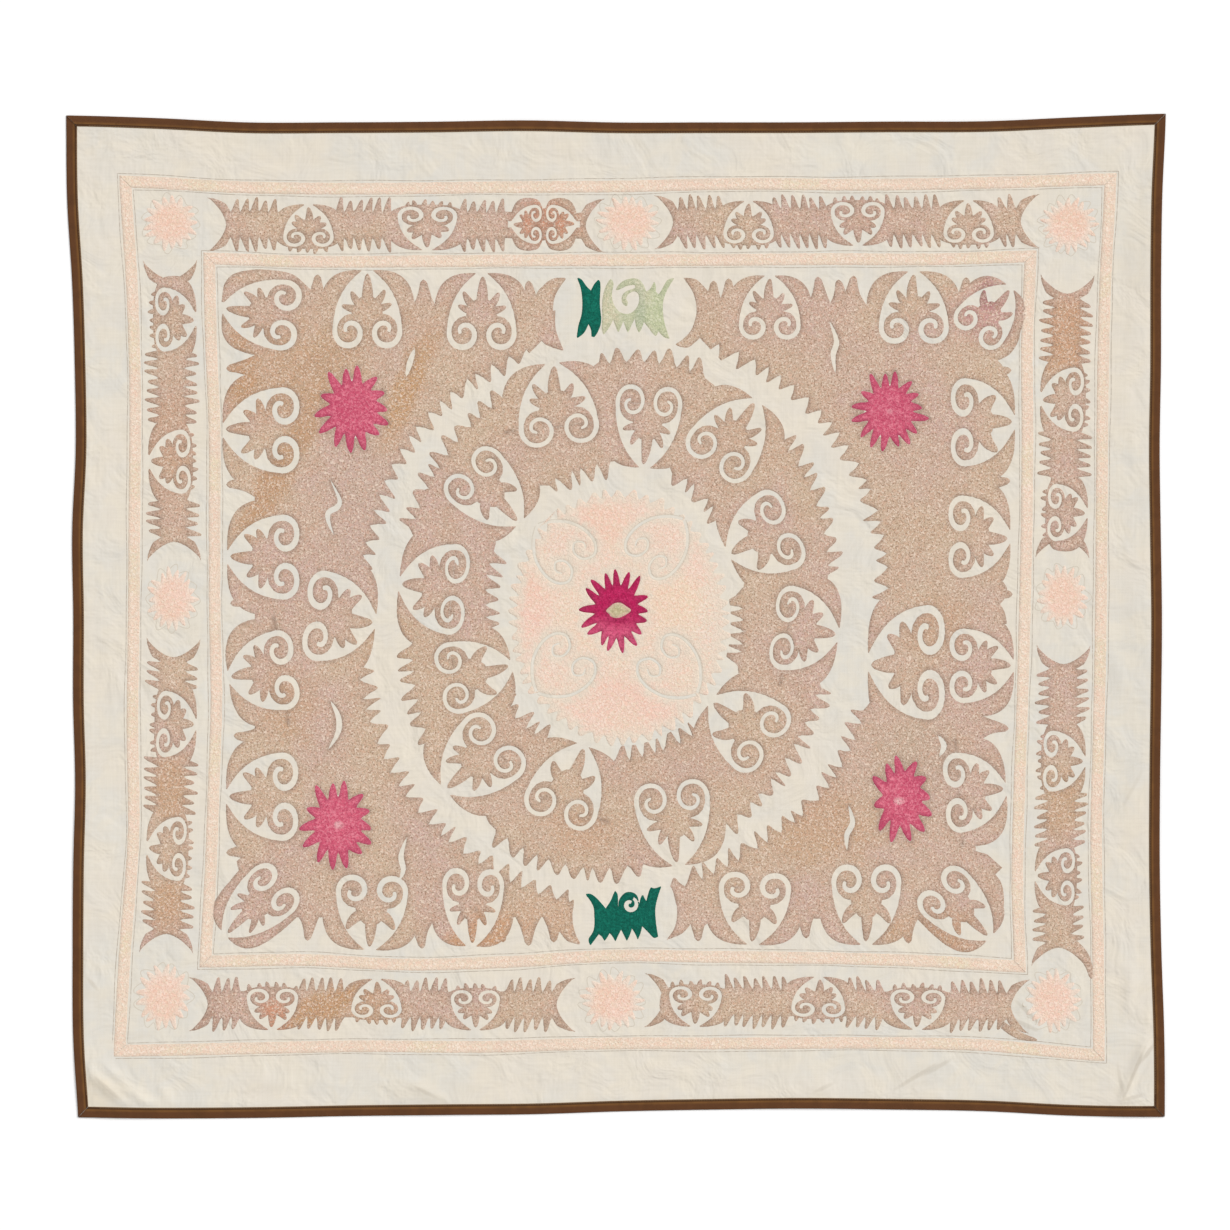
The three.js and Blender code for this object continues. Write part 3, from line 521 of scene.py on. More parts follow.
greenFinish = {
    "plain": tone(0, 106, 88), "mauve": tone(0, 98, 82), "grey": tone(0, 84, 70),
    "light": tone(20, 128, 106), "dark": tone(0, 78, 64), "size": 250.0, "bump": 0.0006,
    "lightShare": 0.35, "darkShare": 0.45, "edgeShare": 0.4, "sheen": 0.02,
}

sageFinish = {
    "plain": tone(217, 207, 178), "mauve": tone(202, 203, 168), "grey": tone(180, 184, 152),
    "light": tone(228, 226, 200), "dark": tone(172, 182, 144), "size": 250.0, "bump": 0.0006,
    "lightShare": 0.4, "darkShare": 0.4, "edgeShare": 0.4, "patches": 16.0, "sheen": 0.1,
    "stains": [
        (82, 540, 36, 70, 0, 0.8, tone(200, 206, 164)),
        (-14, 540, 28, 60, 0, 0.7, tone(222, 210, 178)),
        (42, 540, 12, 44, 0, 0.6, tone(176, 186, 160)),
    ],
}


tapeFinish = {
    "outer": tone(92, 55, 31), "inner": tone(122, 82, 40), "ridge": tone(136, 94, 54),
    "dark": tone(62, 36, 20), "lip": tone(176, 148, 112), "ribs": 190.0, "bump": 0.0003,
}


def makeTapeMaterial():
    # ribbed tape: the outer part darker and redder, a lighter woven edge inside, and a line of painted shade
    # beside that edge
    material, tree, shader, vector = newMaterial("ribbed_tape", 0.85, 0.04)
    across = readValue(tree, "inward")
    fade = useGroup(tree, fadeGroup, {"Vector": vector, "Patches": 6.0})
    stitch = useGroup(tree, stitchGroup, {"Vector": vector, "Size": 420.0, "Curl": 0.3})
    ribs = addNode(tree, "ShaderNodeTexWave", {
        "Vector": tree.nodes.new("ShaderNodeUVMap").outputs["UV"], "Scale": tapeFinish["ribs"],
        "Distortion": 0.6, "Detail": 1.0,
    }, wave_type="BANDS", bands_direction="X").outputs["Fac"]
    colour = addMix(tree, addRange(tree, across, 0.50, 0.72), tapeFinish["outer"], tapeFinish["inner"])
    for share, shade in (
        (addShare(tree, fade["Small"], 0.35), "dark"), (addShare(tree, ribs, 0.35), "ridge"),
        (addShare(tree, addRange(tree, across, 0.74, 0.80), 0.8), "dark"),  # painted shade: a dark line beside the lighter edge
        (addShare(tree, addRange(tree, across, 0.95, 0.98), 0.6), "lip"),
    ):
        colour = addMix(tree, share, colour, tapeFinish[shade])
    height = addMath(tree, "ADD", ribs, addShare(tree, stitch["Height"], 0.4))
    bump = addBump(tree, height, tapeFinish["bump"])
    feed(tree, shader, {"Base Color": colour, "Normal": bump})
    return material


lineFinish = {"dark": tone(190, 178, 163), "worn": tone(216, 207, 193), "faint": tone(219, 209, 192)}


def makeLineMaterial():
    # a thin drawn line, worn away in places
    material, tree, shader, vector = newMaterial("drawn_line", 0.95, 0.0)
    worn = addRange(tree, addNoise(tree, vector, 160.0, 3.0), 0.42, 0.68)
    colour = addMix(tree, worn, lineFinish["dark"], lineFinish["worn"])
    colour = addMix(tree, readValue(tree, "faint"), colour, lineFinish["faint"])
    weave = useGroup(tree, weaveGroup, {"Vector": vector, "Threads": 380.0, "Slub": 1.0})
    bump = addBump(tree, weave["Height"], clothFinish["bump"])
    feed(tree, shader, {"Base Color": colour, "Normal": bump})
    return material


clothMaterial = makeClothMaterial()
threads = {name: makeThreadMaterial(name + "_thread", finish) for name, finish in (
    ("tan", tanFinish), ("peach", peachFinish), ("blush", blushFinish), ("rose", roseFinish),
    ("magenta", magentaFinish), ("centre", centreFinish), ("eye", eyeFinish),
    ("stray_dark", strayFinish), ("green", greenFinish), ("sage", sageFinish),
)}
tapeMaterial = makeTapeMaterial()
lineMaterial = makeLineMaterial()
print("materials made")

clothEdge = {
    "bottomLeft": (-941, -878), "bottomRight": (960, -877),
    "topLeft": (-962, 875), "topRight": (962, 878),
    "top": [0, 5, 13, 13, 12, 10, 14, 14, 14, 13, 13, 6, 0],
    "right": [0, 1, 6, 9, 9, 7, 6, 8, 10, 8, 8, 6, 0],
    "bottom": [0, -2, -1, 2, 4, 5, 10, 13, 15, 13, 10, 2, 0],
    "left": [0, -7, -6, -3, 2, 0, 2, 2, 10, 10, 7, 0, 0],
}

clothLie = {
    "thick": 1.2, "slotLow": 1.0, "inset": 2.3, "tapeWidth": 19.2,
    "flatFrom": 78.0, "waveFrom": 42.0, "smallFrom": 27.0, "fine": 5.5, "wide": 13.0, "fineReach": 190.0,
}

# Soft waves of the plain border, each a low ridge: its middle, heading, length, width and height
waves = [
    (-890, 300, 80, 190, 60, 1.6), (-905, -420, 100, 170, 55, 2.2), (-880, -825, -40, 120, 50, 2.8),
    (-330, -840, -25, 150, 45, 1.8), (350, -835, 18, 170, 50, 2.0), (905, -830, 55, 130, 50, 2.6),
    (925, -300, 65, 150, 50, 1.8), (915, -20, 105, 150, 55, 2.0), (900, 520, 85, 160, 55, 1.5),
    (580, 815, 35, 150, 50, 2.2), (-60, 830, 10, 180, 50, 1.4), (-560, 825, -12, 170, 55, 1.8),
]

# Creases of the cloth, from one place to another, with a width and a height
creases = [
    ((-922, -796), (-860, -852), 9, 6.4), ((-896, -784), (-852, -824), 8, 4.4),
    ((-853, -830), (-812, -856), 8, 4.8), ((-800, -815), (-780, -850), 8, 3.2),
    ((-928, -630), (-905, -660), 8, 2.0), ((-368, -814), (-307, -845), 8, 4.2),
    ((340, -835), (379, -817), 8, 3.4), ((507, -800), (568, -775), 9, 2.8),
    ((884, -846), (906, -798), 8, 6.2), ((906, -798), (928, -744), 8, 5.6),
    ((886, -850), (922, -838), 7, 3.6), ((894, -700), (900, -620), 9, 2.6),
    ((696, -670), (742, -712), 6, 2.2), ((690, -704), (740, -728), 6, 2.0),
    ((892, -610), (915, -660), 14, 2.4), ((884, -338), (920, -272), 12, 2.4),
    ((860, -45), (905, -150), 16, 2.0), ((533, 828), (604, 768), 14, 2.2),
    ((-285, 820), (-284, 700), 10, 0.6), ((-158, -800), (-160, -700), 10, 0.7),
    ((458, -830), (460, -690), 10, 0.7), ((-900, 690), (-915, 520), 18, 0.9),
    ((-905, 60), (-885, -120), 20, 0.9), ((140, 812), (250, 800), 14, 0.9),
    ((-760, 820), (-690, 792), 14, 0.9), ((-640, -810), (-560, -822), 12, 2.0),
    ((60, -790), (150, -806), 12, 1.8), ((905, 260), (888, 380), 16, 0.8),
]

# Slow unevenness of the whole cloth: a heading, a wave's length, its height and where it starts
swells = [
    (12, 310, 0.16, 0.4), (98, 260, 0.16, 2.1), (47, 142, 0.11, 4.4), (151, 96, 0.09, 1.2),
    (75, 61, 0.06, 3.3),
]


def waveHeight(x, y):
    height = 0 * x
    for middleX, middleY, heading, length, width, rise in waves:
        angle = math.radians(heading)
        dx = x - middleX
        dy = y - middleY
        along = (dx * math.cos(angle) + dy * math.sin(angle)) / length
        across = (dy * math.cos(angle) - dx * math.sin(angle)) / width
        height = height + rise * np.exp(-along * along - across * across)
    return height


def smallLift(x, y):
    # creases and swells, never under the surface that the cloth lies on
    height = 0.5 + 0 * x
    for heading, length, rise, phase in swells:
        angle = math.radians(heading)
        along = x * math.cos(angle) + y * math.sin(angle)
        height = height + rise * np.sin(along / length * 2 * math.pi + phase)
    height = np.maximum(height, 0.02)
    for (startX, startY), (endX, endY), width, rise in creases:
        dx = endX - startX
        dy = endY - startY
        share = np.clip(((x - startX) * dx + (y - startY) * dy) / (dx * dx + dy * dy), 0.0, 1.0)
        away = np.hypot(x - startX - share * dx, y - startY - share * dy) / width
        fade = 0.35 + 0.65 * np.sin(math.pi * np.clip(share, 0.04, 0.96))
        height = height + rise * fade * np.exp(-away * away)
    return height


def gradedSteps(size):
    # fine steps near both ends and wide ones in the middle, and steps at the edge of the tape
    reach = clothLie["fineReach"]
    near = int(round(reach / clothLie["fine"]))
    middle = int(round((size - 2 * reach) / clothLie["wide"]))
    low = np.linspace(0, reach, near + 1)
    mid = np.linspace(reach, size - reach, middle + 1)[1:]
    high = np.linspace(size - reach, size, near + 1)[1:]
    tape = clothLie["tapeWidth"]
    beside = tape + 2.8
    return np.unique(np.concatenate([low, mid, high, [tape, beside, size - tape, size - beside]])) / size


def gridFaces(rows, columns):
    return [(a, a + 1, a + columns + 1, a + columns)
            for row in range(rows - 1) for a in range(row * columns, (row + 1) * columns - 1)]


def makeObject(name, points, faces, material, smooth=True):
    mesh = bpy.data.meshes.new(name)
    mesh.from_pydata([tuple(p) for p in np.asarray(points, float) * mm], [], faces)
    mesh.materials.append(material)
    if smooth:
        mesh.polygons.foreach_set("use_smooth", [True] * len(mesh.polygons))
    mesh.update()
    piece = bpy.data.objects.new(name, mesh)
    scene.collection.objects.link(piece)
    return piece


def writeValues(piece, name, values):
    attribute = piece.data.attributes.new(name, "FLOAT", "POINT")
    attribute.data.foreach_set("value", np.asarray(values, np.float32))


def settle(piece, nodes):
    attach(piece, "root")
    if nodes:
        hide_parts(*nodes)
    return piece


def clothTop(u, v):
    # the place and top of the cloth at u and v of its edge
    wide, tall = edgeSize(clothEdge)
    x, y = placeIn(clothEdge, u, v)
    inset = np.minimum(np.minimum(u, 1 - u) * wide, np.minimum(v, 1 - v) * tall)
    tape = clothLie["tapeWidth"]
    heldU = np.clip(u, tape / wide, 1 - tape / wide)
    heldV = np.clip(v, tape / tall, 1 - tape / tall)
    heldX, heldY = placeIn(clothEdge, heldU, heldV)
    waveFrom = clothLie["waveFrom"]
    wave = waveHeight(heldX, heldY) * (1 - ease(waveFrom, clothLie["flatFrom"], inset))
    slot = clothLie["slotLow"] * (1 - ease(tape + 1, waveFrom, inset))
    small = smallLift(x, y) * ease(tape + 1, clothLie["smallFrom"], inset)
    return x, y, clothLie["thick"] + wave + slot + small


def makeGroundCloth():
    wide, tall = edgeSize(clothEdge)
    inset = clothLie["inset"]
    us = np.clip(gradedSteps(wide), inset / wide, 1 - inset / wide)
    vs = np.clip(gradedSteps(tall), inset / tall, 1 - inset / tall)
    gridU, gridV = np.meshgrid(us, vs)
    x, y, top = clothTop(gridU.ravel(), gridV.ravel())
    columns = len(us)
    rows = len(vs)
    count = columns * rows
    under = np.stack([x, y, top - clothLie["thick"]], 1)
    over = np.stack([x, y, top], 1)
    faces = gridFaces(rows, columns)
    faces += [tuple(corner + count for corner in (a, d, c, b)) for a, b, c, d in faces]
    rim = list(range(columns))
    rim += [row * columns + columns - 1 for row in range(1, rows)]
    rim += [(rows - 1) * columns + column for column in range(columns - 2, -1, -1)]
    rim += [row * columns for row in range(rows - 2, 0, -1)]
    for index, a in enumerate(rim):
        b = rim[(index + 1) % len(rim)]
        faces.append((a, a + count, b + count, b))
    outline = np.array([(x[i], y[i]) for i in rim]) * mm
    nextOne = np.roll(outline, -1, axis=0)
    area = abs(np.sum(outline[:, 0] * nextOne[:, 1] - nextOne[:, 0] * outline[:, 1])) / 2
    piece = makeObject("ground_cloth_sheet", np.concatenate([over, under]), faces, clothMaterial)
    settle(piece, ["ground_cloth"])
    return piece, float(area)


groundPiece, clothArea = makeGroundCloth()
print("ground cloth made, area", round(clothArea, 3))


stitchLie = {
    "edge": 1.12, "crown": 2.15, "round": 2.8, "pucker": 0.09, "grid": 6.0, "rows": (1.2, 3.0), "step": 4.0,
    "rowShare": 0.86, "rowPitch": 1.3,
}


def holds(outline, points):
    # which of the points lie inside the outline
    inside = np.zeros(len(points), bool)
    near = np.all((points >= outline.min(0)) & (points <= outline.max(0)), axis=1)
    px = points[near, 0]
    py = points[near, 1]
    crossed = np.zeros(len(px), bool)
    for (ax, ay), (bx, by) in zip(outline, np.roll(outline, -1, axis=0)):
        if ay == by:
            continue
        spans = (ay > py) != (by > py)
        crossed ^= spans & (px < (bx - ax) * (py - ay) / (by - ay) + ax)
    inside[near] = crossed
    return inside


def keptPlaces(shapes, points):
    # shapes is a list of ("add" or "cut", outline), worked in order
    inside = np.zeros(len(points), bool)
    for work, outline in shapes:
        mask = holds(outline, points)
        inside = (inside | mask) if work == "add" else (inside & ~mask)
    return inside


def areaOf(places, faces):
    a, b, c = (places[faces[:, k]] for k in range(3))
    return ((b[:, 0] - a[:, 0]) * (c[:, 1] - a[:, 1]) - (b[:, 1] - a[:, 1]) * (c[:, 0] - a[:, 0])) / 2


def splitTriangles(points, edges, shapes):
    places, _, faces, *_ = delaunay_2d_cdt([tuple(p) for p in points], edges, [], 0, 1e-5, False)
    places = np.array([tuple(p) for p in places])
    faces = np.array(faces)
    kept = keptPlaces(shapes, places[faces].mean(1))
    return places, faces[kept & (np.abs(areaOf(places, faces)) > 5e-5)]


def withoutCrumbs(places, faces, least):
    # drop islands smaller than the least area
    leader = list(range(len(places)))

    def find(index):
        while leader[index] != index:
            leader[index] = leader[leader[index]]
            index = leader[index]
        return index

    for a, b, c in faces.tolist():
        root = find(a)
        leader[find(b)] = root
        leader[find(c)] = root
    owner = np.array([find(index) for index in faces[:, 0].tolist()])
    total = np.bincount(owner, weights=np.abs(areaOf(places, faces)), minlength=len(places))
    return faces[total[owner] > least]


def boundaryEdges(faces):
    # directed edges with the thread at their left
    edges = np.concatenate([faces[:, [0, 1]], faces[:, [1, 2]], faces[:, [2, 0]]])
    seen = dict.fromkeys(map(tuple, edges.tolist()))
    return [(a, b) for a, b in seen if (b, a) not in seen]


def treeOf(points):
    tree = kdtree.KDTree(len(points))
    for index, (x, y) in enumerate(points):
        tree.insert((x, y, 0.0), index)
    tree.balance()
    return tree


def reachOf(tree, points):
    return np.array([tree.find((x, y, 0.0))[2] for x, y in points])


def crownHeight(x, y, away):
    share = np.clip(away / stitchLie["round"], 0.0, 1.0)
    rise = np.sqrt(np.clip(1 - (1 - share) ** 2, 0.0, 1.0))
    pucker = (np.sin(x / 5.3 + 2 * np.sin(y / 17)) * np.sin(y / 6.1 + 2 * np.sin(x / 13)))
    return (stitchLie["edge"] + (stitchLie["crown"] - stitchLie["edge"]) * rise
            + pucker * stitchLie["pucker"] * share)


def makeStitched(name, shapes, thread, stands=True, least=150.0, grid=0.0, fade=8.0):
    # first the outline alone, to find the rim of what is kept
    points = []
    edges = []
    for _, outline in shapes:
        start = len(points)
        count = len(outline)
        points.extend(tuple(p) for p in outline)
        edges.extend((start + k, start + (k + 1) % count) for k in range(count))
    places, faces = splitTriangles(points, edges, shapes)
    rim = boundaryEdges(withoutCrumbs(places, faces, least))
    used = sorted({index for edge in rim for index in edge})
    order = {index: k for k, index in enumerate(used)}
    rimPoints = [tuple(places[index]) for index in used]
    rimLinks = []
    samples = []
    rows = []
    for a, b in rim:
        start = places[a]
        along = places[b] - start
        length = float(np.hypot(*along))
        if length < 1e-6:
            continue
        normal = np.array([-along[1], along[0]]) / length
        pieces = max(1, int(math.ceil(length / stitchLie["step"])))
        previous = order[a]
        for step in range(1, pieces):
            rimPoints.append(tuple(start + along * step / pieces))
            rimLinks.append((previous, len(rimPoints) - 1))
            previous = len(rimPoints) - 1
        rimLinks.append((previous, order[b]))
        fine = max(1, int(math.ceil(length)))
        samples += [start + along * (step / fine) for step in range(fine)]
        for step in range(pieces):
            middle = start + along * (step + 0.5) / pieces
            rows += [(*(middle + normal * depth), depth * stitchLie["rowShare"])
                     for depth in stitchLie["rows"]]
    # then rows of points inside the rim and a plain grid in the middle
    tree = treeOf(samples)
    rows = np.array(rows)
    cells = {}
    for x, y in rows[reachOf(tree, rows[:, :2]) > rows[:, 2]][:, :2]:
        cells.setdefault((int(x // stitchLie["rowPitch"]), int(y // stitchLie["rowPitch"])), (x, y))
    low = np.min(rimPoints, axis=0)
    high = np.max(rimPoints, axis=0)
    pitch = grid or stitchLie["grid"]
    gx, gy = np.meshgrid(np.arange(low[0], high[0], pitch), np.arange(low[1], high[1], pitch))
    gx = gx + np.where((np.arange(gx.shape[0]) % 2)[:, None] == 1, pitch / 2, 0.0)
    middle = np.stack([gx.ravel(), gy.ravel()], 1)
    middle = middle[keptPlaces(shapes, middle)]
    if len(middle):
        middle = middle[reachOf(tree, middle) > stitchLie["rows"][-1] + pitch * 0.4]
    every = rimPoints + list(cells.values()) + [tuple(p) for p in middle]
    places, faces = splitTriangles(every, rimLinks, shapes)
    faces = withoutCrumbs(places, faces, least)
    used = np.unique(faces)
    order = np.full(len(places), -1)
    order[used] = np.arange(len(used))
    away = reachOf(tree, places[used])
    away[away < 0.3] = 0.0
    x, y = places[used].T
    height = crownHeight(x, y, away) + smallLift(x, y)
    piece = makeObject(name + "_thread", np.stack([x, y, height], 1), order[faces].tolist(), threads[thread])
    writeValues(piece, "inward", np.clip(away / fade, 0.0, 1.0))
    settle(piece, [name] if stands else [])


def leafShape(base, tip, wide, bend=0.0, profile=(0.9, 1.0, 0.98, 0.78, 0.42)):
    # a leaf from its base to its tip, wide at each side, with a bend to its left
    base = np.asarray(base, float)
    tip = np.asarray(tip, float)
    along = tip - base
    length = float(np.hypot(*along))
    forward = along / length
    aside = np.array([-forward[1], forward[0]])
    shares = np.linspace(0, 0.92, len(profile))
    spine = [base + along * s + aside * bend * length * math.sin(math.pi * s) for s in shares]
    left = [p + aside * wide * w for p, w in zip(spine, profile)]
    right = [p - aside * wide * w for p, w in zip(spine, profile)]
    point = tip + aside * bend * length * 0.1
    side = flow(left + [point], 3)
    back = flow([point] + right[::-1], 3)
    return np.concatenate([side, back[1:]])


# The channel of a scroll at each turn: how far out its middle lies and how wide it is, as shares
# of the coil
fatScroll = [
    (0, 0.86, 0.30), (60, 0.88, 0.33), (120, 0.82, 0.34), (180, 0.68, 0.32), (240, 0.50, 0.30),
    (300, 0.34, 0.28), (350, 0.20, 0.24),
]
slimScroll = [
    (0, 0.88, 0.28), (60, 0.92, 0.24), (120, 0.86, 0.23), (180, 0.72, 0.22), (240, 0.56, 0.21),
    (300, 0.44, 0.20), (360, 0.34, 0.19), (410, 0.22, 0.17),
]


def placed(x, y, tip, half, rise, **more):
    # a palmette: its place, the heading of its tip, half its width and its rise
    return {"x": x, "y": y, "tip": tip, "half": half, "rise": rise, **more}


def setDown(points, palmette):
    return turned(points, palmette["tip"] - 90, palmette["x"], palmette["y"])


slitShare = 0.16


def windowShape(palmette, side):
    # the open cloth of one half: the side of the window, a scroll and the body's shoulder
    half = palmette["half"]
    rise = palmette["rise"]
    wide = half * 0.47
    tall = rise * 0.46
    coilX = half - wide
    coilY = tall - rise
    slit = half * slitShare
    scroll = palmette.get("scroll", fatScroll)

    def at(turn, share):
        angle = -math.radians(turn)
        return (coilX + wide * share * math.cos(angle), coilY + tall * share * math.sin(angle))

    turns = np.arange(0, scroll[-1][0] + 1, 15)
    steps, middles, widths = zip(*scroll)
    middle = np.interp(turns, steps, middles)
    width = np.interp(turns, steps, widths)
    outer = [at(turn, m + w / 2) for turn, m, w in zip(turns, middle, width)]
    inner = [at(turn, m - w / 2) for turn, m, w in zip(turns, middle, width)]
    end, far, broad = scroll[-1]
    hook = [at(end + 22, far + broad * 0.35), at(end + 32, far), at(end + 22, far - broad * 0.35)]
    flank = bezier((slit, rise + 3), (half * 0.42, rise * 0.85), (half * 0.95, rise * 0.48), outer[0], 10)
    start = middle[0] - width[0] / 2
    head = [at(-24, start + 0.04), at(-48, start + 0.11), at(-74, start + 0.20), at(-100, start + 0.29)]
    body = [(half * 0.42, rise * 0.03), (half * 0.37, rise * 0.18), (half * 0.20, rise * 0.34)]
    line = [(-0.5, rise + 9), (slit, rise + 9)]
    line += [tuple(p) for p in flank]
    line += outer[1:] + hook + inner[::-1] + head + body + [(-0.5, rise * 0.40)]
    return setDown(np.array(line) * (side, 1), palmette)


def archShape(palmette):
    # the thread that closes round the palmette, with a horn at each side of its tip
    half = palmette["half"]
    rise = palmette["rise"]
    foot = palmette.get("foot", 0)
    slit = half * slitShare
    band = palmette.get("band", min(24, half * 0.32))
    full = palmette.get("full", 1.0)
    coilY = rise * 0.46 - rise
    right = [tuple(p) for p in bezier(
        (half + band, coilY), (half + band * (1.0 + 0.6 * full), rise * 0.66),
        (half * (0.98 + 0.10 * full), rise * (1.03 + 0.10 * full)), (slit + 1, rise + 4), 13)]
    if foot > 0:
        low = bezier((half * 0.45, -rise - foot), (half * 0.8, -rise - foot * 0.9),
                     (half + band, -rise * 0.86), (half + band, coilY), 6)
        right = [tuple(p) for p in low[:-1]] + right
    right.append((slit * 0.4, rise - 4))
    left = [(-x, y) for x, y in reversed(right)]
    return setDown(right + left, palmette)


fullLeaf = (1.25, 1.12, 0.98, 0.80, 0.46)


def leafShapes(palmette, seed):
    # leaves of the palmette: one at the tip and one or two at each side
    half = palmette["half"]
    rise = palmette["rise"]
    shapes = [leafShape((0, 0.08 * rise), (0.05 * uneven(seed, 1) * half, rise * 0.98), half * 0.155,
                        0.06 * uneven(seed, 2), (1.15, 1.08, 0.98, 0.78, 0.42))]
    for side in (-1, 1):
        drift = 0.05 * uneven(seed + side * 0.3, 3)
        if palmette.get("leaves", 5) == 5:
            upper = (side * half * (0.50 + drift), rise * (0.54 + drift))
            lower = (side * half * (0.71 - drift), rise * (0.16 + drift))
            wide = half * palmette.get("leafWide", 0.118)
            for away, low, tip, bend in ((0.12, 0.08, upper, -0.07), (0.14, 0.02, lower, -0.05)):
                shapes.append(leafShape((side * half * away, rise * low), tip, wide, bend * side, fullLeaf))
        else:
            tip = (side * half * (0.64 + drift), rise * (0.46 + drift))
            shapes.append(leafShape((side * half * 0.10, rise * 0.02), tip, half * 0.145, -0.12 * side,
                                    (1.15, 1.10, 1.02, 0.84, 0.48)))
    return [setDown(shape, palmette) for shape in shapes]


def palmetteShapes(palmettes):
    shapes = [("add", archShape(palmette)) for palmette in palmettes]
    shapes += [("cut", windowShape(palmette, side)) for palmette in palmettes for side in (-1, 1)]
    for index, palmette in enumerate(palmettes):
        shapes += [("add", shape) for shape in leafShapes(palmette, index + palmette["x"] * 0.01)]
    return shapes


medallion = {
    "x": 8, "y": -4,
    "field": [466, 485, 502, 509, 506, 497, 497, 488, 467, 462, 473, 489, 497, 505, 486, 470, 471, 459],
    "outer": [359, 382, 408, 434, 450, 441, 432, 411, 392, 366, 380, 408, 431, 442, 425, 401, 378, 366],
    "inner": [215, 214, 238, 266, 277, 271, 268, 256, 247, 235, 240, 254, 252, 256, 245, 242, 228, 221],
    "centre": [177, 178, 188, 200, 209, 211, 204, 193, 184, 180, 184, 191, 199, 207, 207, 199, 190, 181],
    "tooth": 23, "fieldTeeth": 108, "outerTeeth": 98, "innerTeeth": 66, "centreTeeth": 58,
    "centreTooth": 14, "dip": 27, "room": 16,
    "fieldGaps": [(170, 186), (341, 358)],
    "outerGaps": [(47, 69), (96, 118), (156, 186), (212, 238), (274, 297), (342, 370)],
    "innerGaps": [(10, 46), (70, 91), (120, 150), (188, 212), (238, 265), (303, 337)],
}

leftPalmettes = [
    placed(-619, 530, 173, 62, 65, foot=6, band=13, full=0.6), placed(-435, 534, 90, 61, 66),
    placed(-235, 530, 90, 61, 65), placed(-619, 324, 180, 75, 65), placed(-615, 102, 180, 74, 61),
    placed(-617, -100, 188, 70, 58), placed(-617, -317, 180, 77, 61),
    placed(-630, -508, 222, 52, 70, foot=6, band=11, full=0.3), placed(-428, -518, 268, 63, 63, leaves=3),
    placed(-251, -509, 268, 54, 66), placed(-484, -4, -6, 79, 60),
]

rightPalmettes = [
    placed(269, 537, 90, 54, 54), placed(521, 537, 90, 61, 61),
    placed(654, 529, 52, 50, 54, foot=6, leaves=3, band=12, full=0.5),
    placed(640, 338, 0, 77, 54, leaves=3), placed(634, 138, 0, 72, 52), placed(638, -88, 0, 65, 54),
    placed(627, -308, 4, 70, 52), placed(603, -513, 316, 54, 68, foot=6, leaves=3, band=12, full=0.5),
    placed(438, -504, 270, 61, 68, leaves=3), placed(242, -511, 268, 63, 61, leaves=3),
    placed(510, -82, 180, 100, 65),
]

ringPalmettes = [
    placed(-104, 368, 96, 70, 70), placed(55, 332, 266, 58, 70), placed(204, 315, 54, 65, 70),
    placed(255, 136, 205, 74, 61, leaves=3), placed(330, -26, -8, 74, 56),
    placed(223, -191, 142, 70, 66, leaves=3), placed(102, -362, 276, 66, 72),
    placed(-83, -296, 70, 66, 70, leaves=3), placed(-244, -256, 222, 70, 70),
    placed(-248, -102, 12, 63, 63, leaves=3), placed(-318, 49, 174, 79, 58),
    placed(-220, 215, 315, 61, 70, leaves=3),
]

# Teeth between the palmettes of the field, by the places of their tips
leftTeeth = [
    {"tip": 90, "places": [(-522, 597), (-337, 588), (-153, 586)]},
    {"tip": 180, "places": [(-682, 432), (-682, 229), (-675, 21), (-669, -210), (-682, -415)]},
    {"tip": 270, "places": [(-540, -569), (-339, -583), (-197, -572), (-153, -578), (-109, -572)]},
]
rightTeeth = [
    {"tip": 90, "places": [(171, 586), (197, 590), (353, 593), (389, 588), (416, 595), (613, 592)]},
    {"tip": 0, "places": [(692, 429), (690, 236), (694, 37), (687, -198), (673, -443)]},
    {"tip": 270, "places": [(144, -570), (333, -565), (512, -574)]},
]

# Each mass round its edge from the opening at the top, in smooth parts
fieldCorners = {
    "left": [
        [(8, 430), (-170, 440)], [(-106, 505)], [(-110, 530), (-106, 560), (-86, 591)],
        [(-112, 589), (-134, 571)], [(-150, 545)], [(-632, 545)], [(-632, -528)], [(-128, -528)],
        [(-116, -550), (-98, -554)], [(-84, -570), (-61, -576)],
        [(-71, -556), (-76, -531), (-74, -509), (-64, -480), (8, -450)],
    ],
    "right": [
        [(8, 430), (190, 440)], [(133, 500)], [(141, 530), (136, 562), (118, 591)],
        [(140, 588), (158, 571)], [(180, 545)], [(642, 545)], [(628, -528)], [(168, -532)],
        [(150, -545), (132, -538)], [(116, -556), (88, -568)],
        [(102, -547), (107, -525), (104, -500), (85, -464), (8, -450)],
    ],
}

# Masses that stand over the edge of the medallion's opening or the corner, in smooth parts
fieldHorns = {
    "left": [
        [[(-106, 534), (-105, 500), (-91, 463)], [(-112, 469), (-130, 480), (-160, 520)]],
        [[(-690, 548), (-684, 582), (-660, 601), (-606, 604), (-566, 597), (-538, 574), (-520, 556)],
         [(-600, 520)], [(-690, 548)]],
        [[(-598, -396), (-640, -412), (-664, -430)], [(-660, -446)],
         [(-676, -466), (-686, -492), (-690, -520)], [(-650, -500)], [(-598, -450)]],
    ],
    "right": [
        [[(142, 534), (134, 504), (121, 487), (103, 474)], [(117, 469), (133, 473), (170, 510)]],
        [[(610, 500), (700, 540)], [(709, 518), (705, 484), (690, 458), (668, 446)],
         [(674, 430), (610, 420)]],
        [[(600, 92), (664, 78)], [(671, 66)], [(684, 48), (680, 30), (672, 20)], [(680, 6), (684, -14)],
         [(600, -40)]],
        [[(590, -400), (650, -418)], [(676, -441)], [(664, -453)], [(675, -470), (679, -500), (676, -524)],
         [(640, -500)], [(590, -460)]],
    ],
}

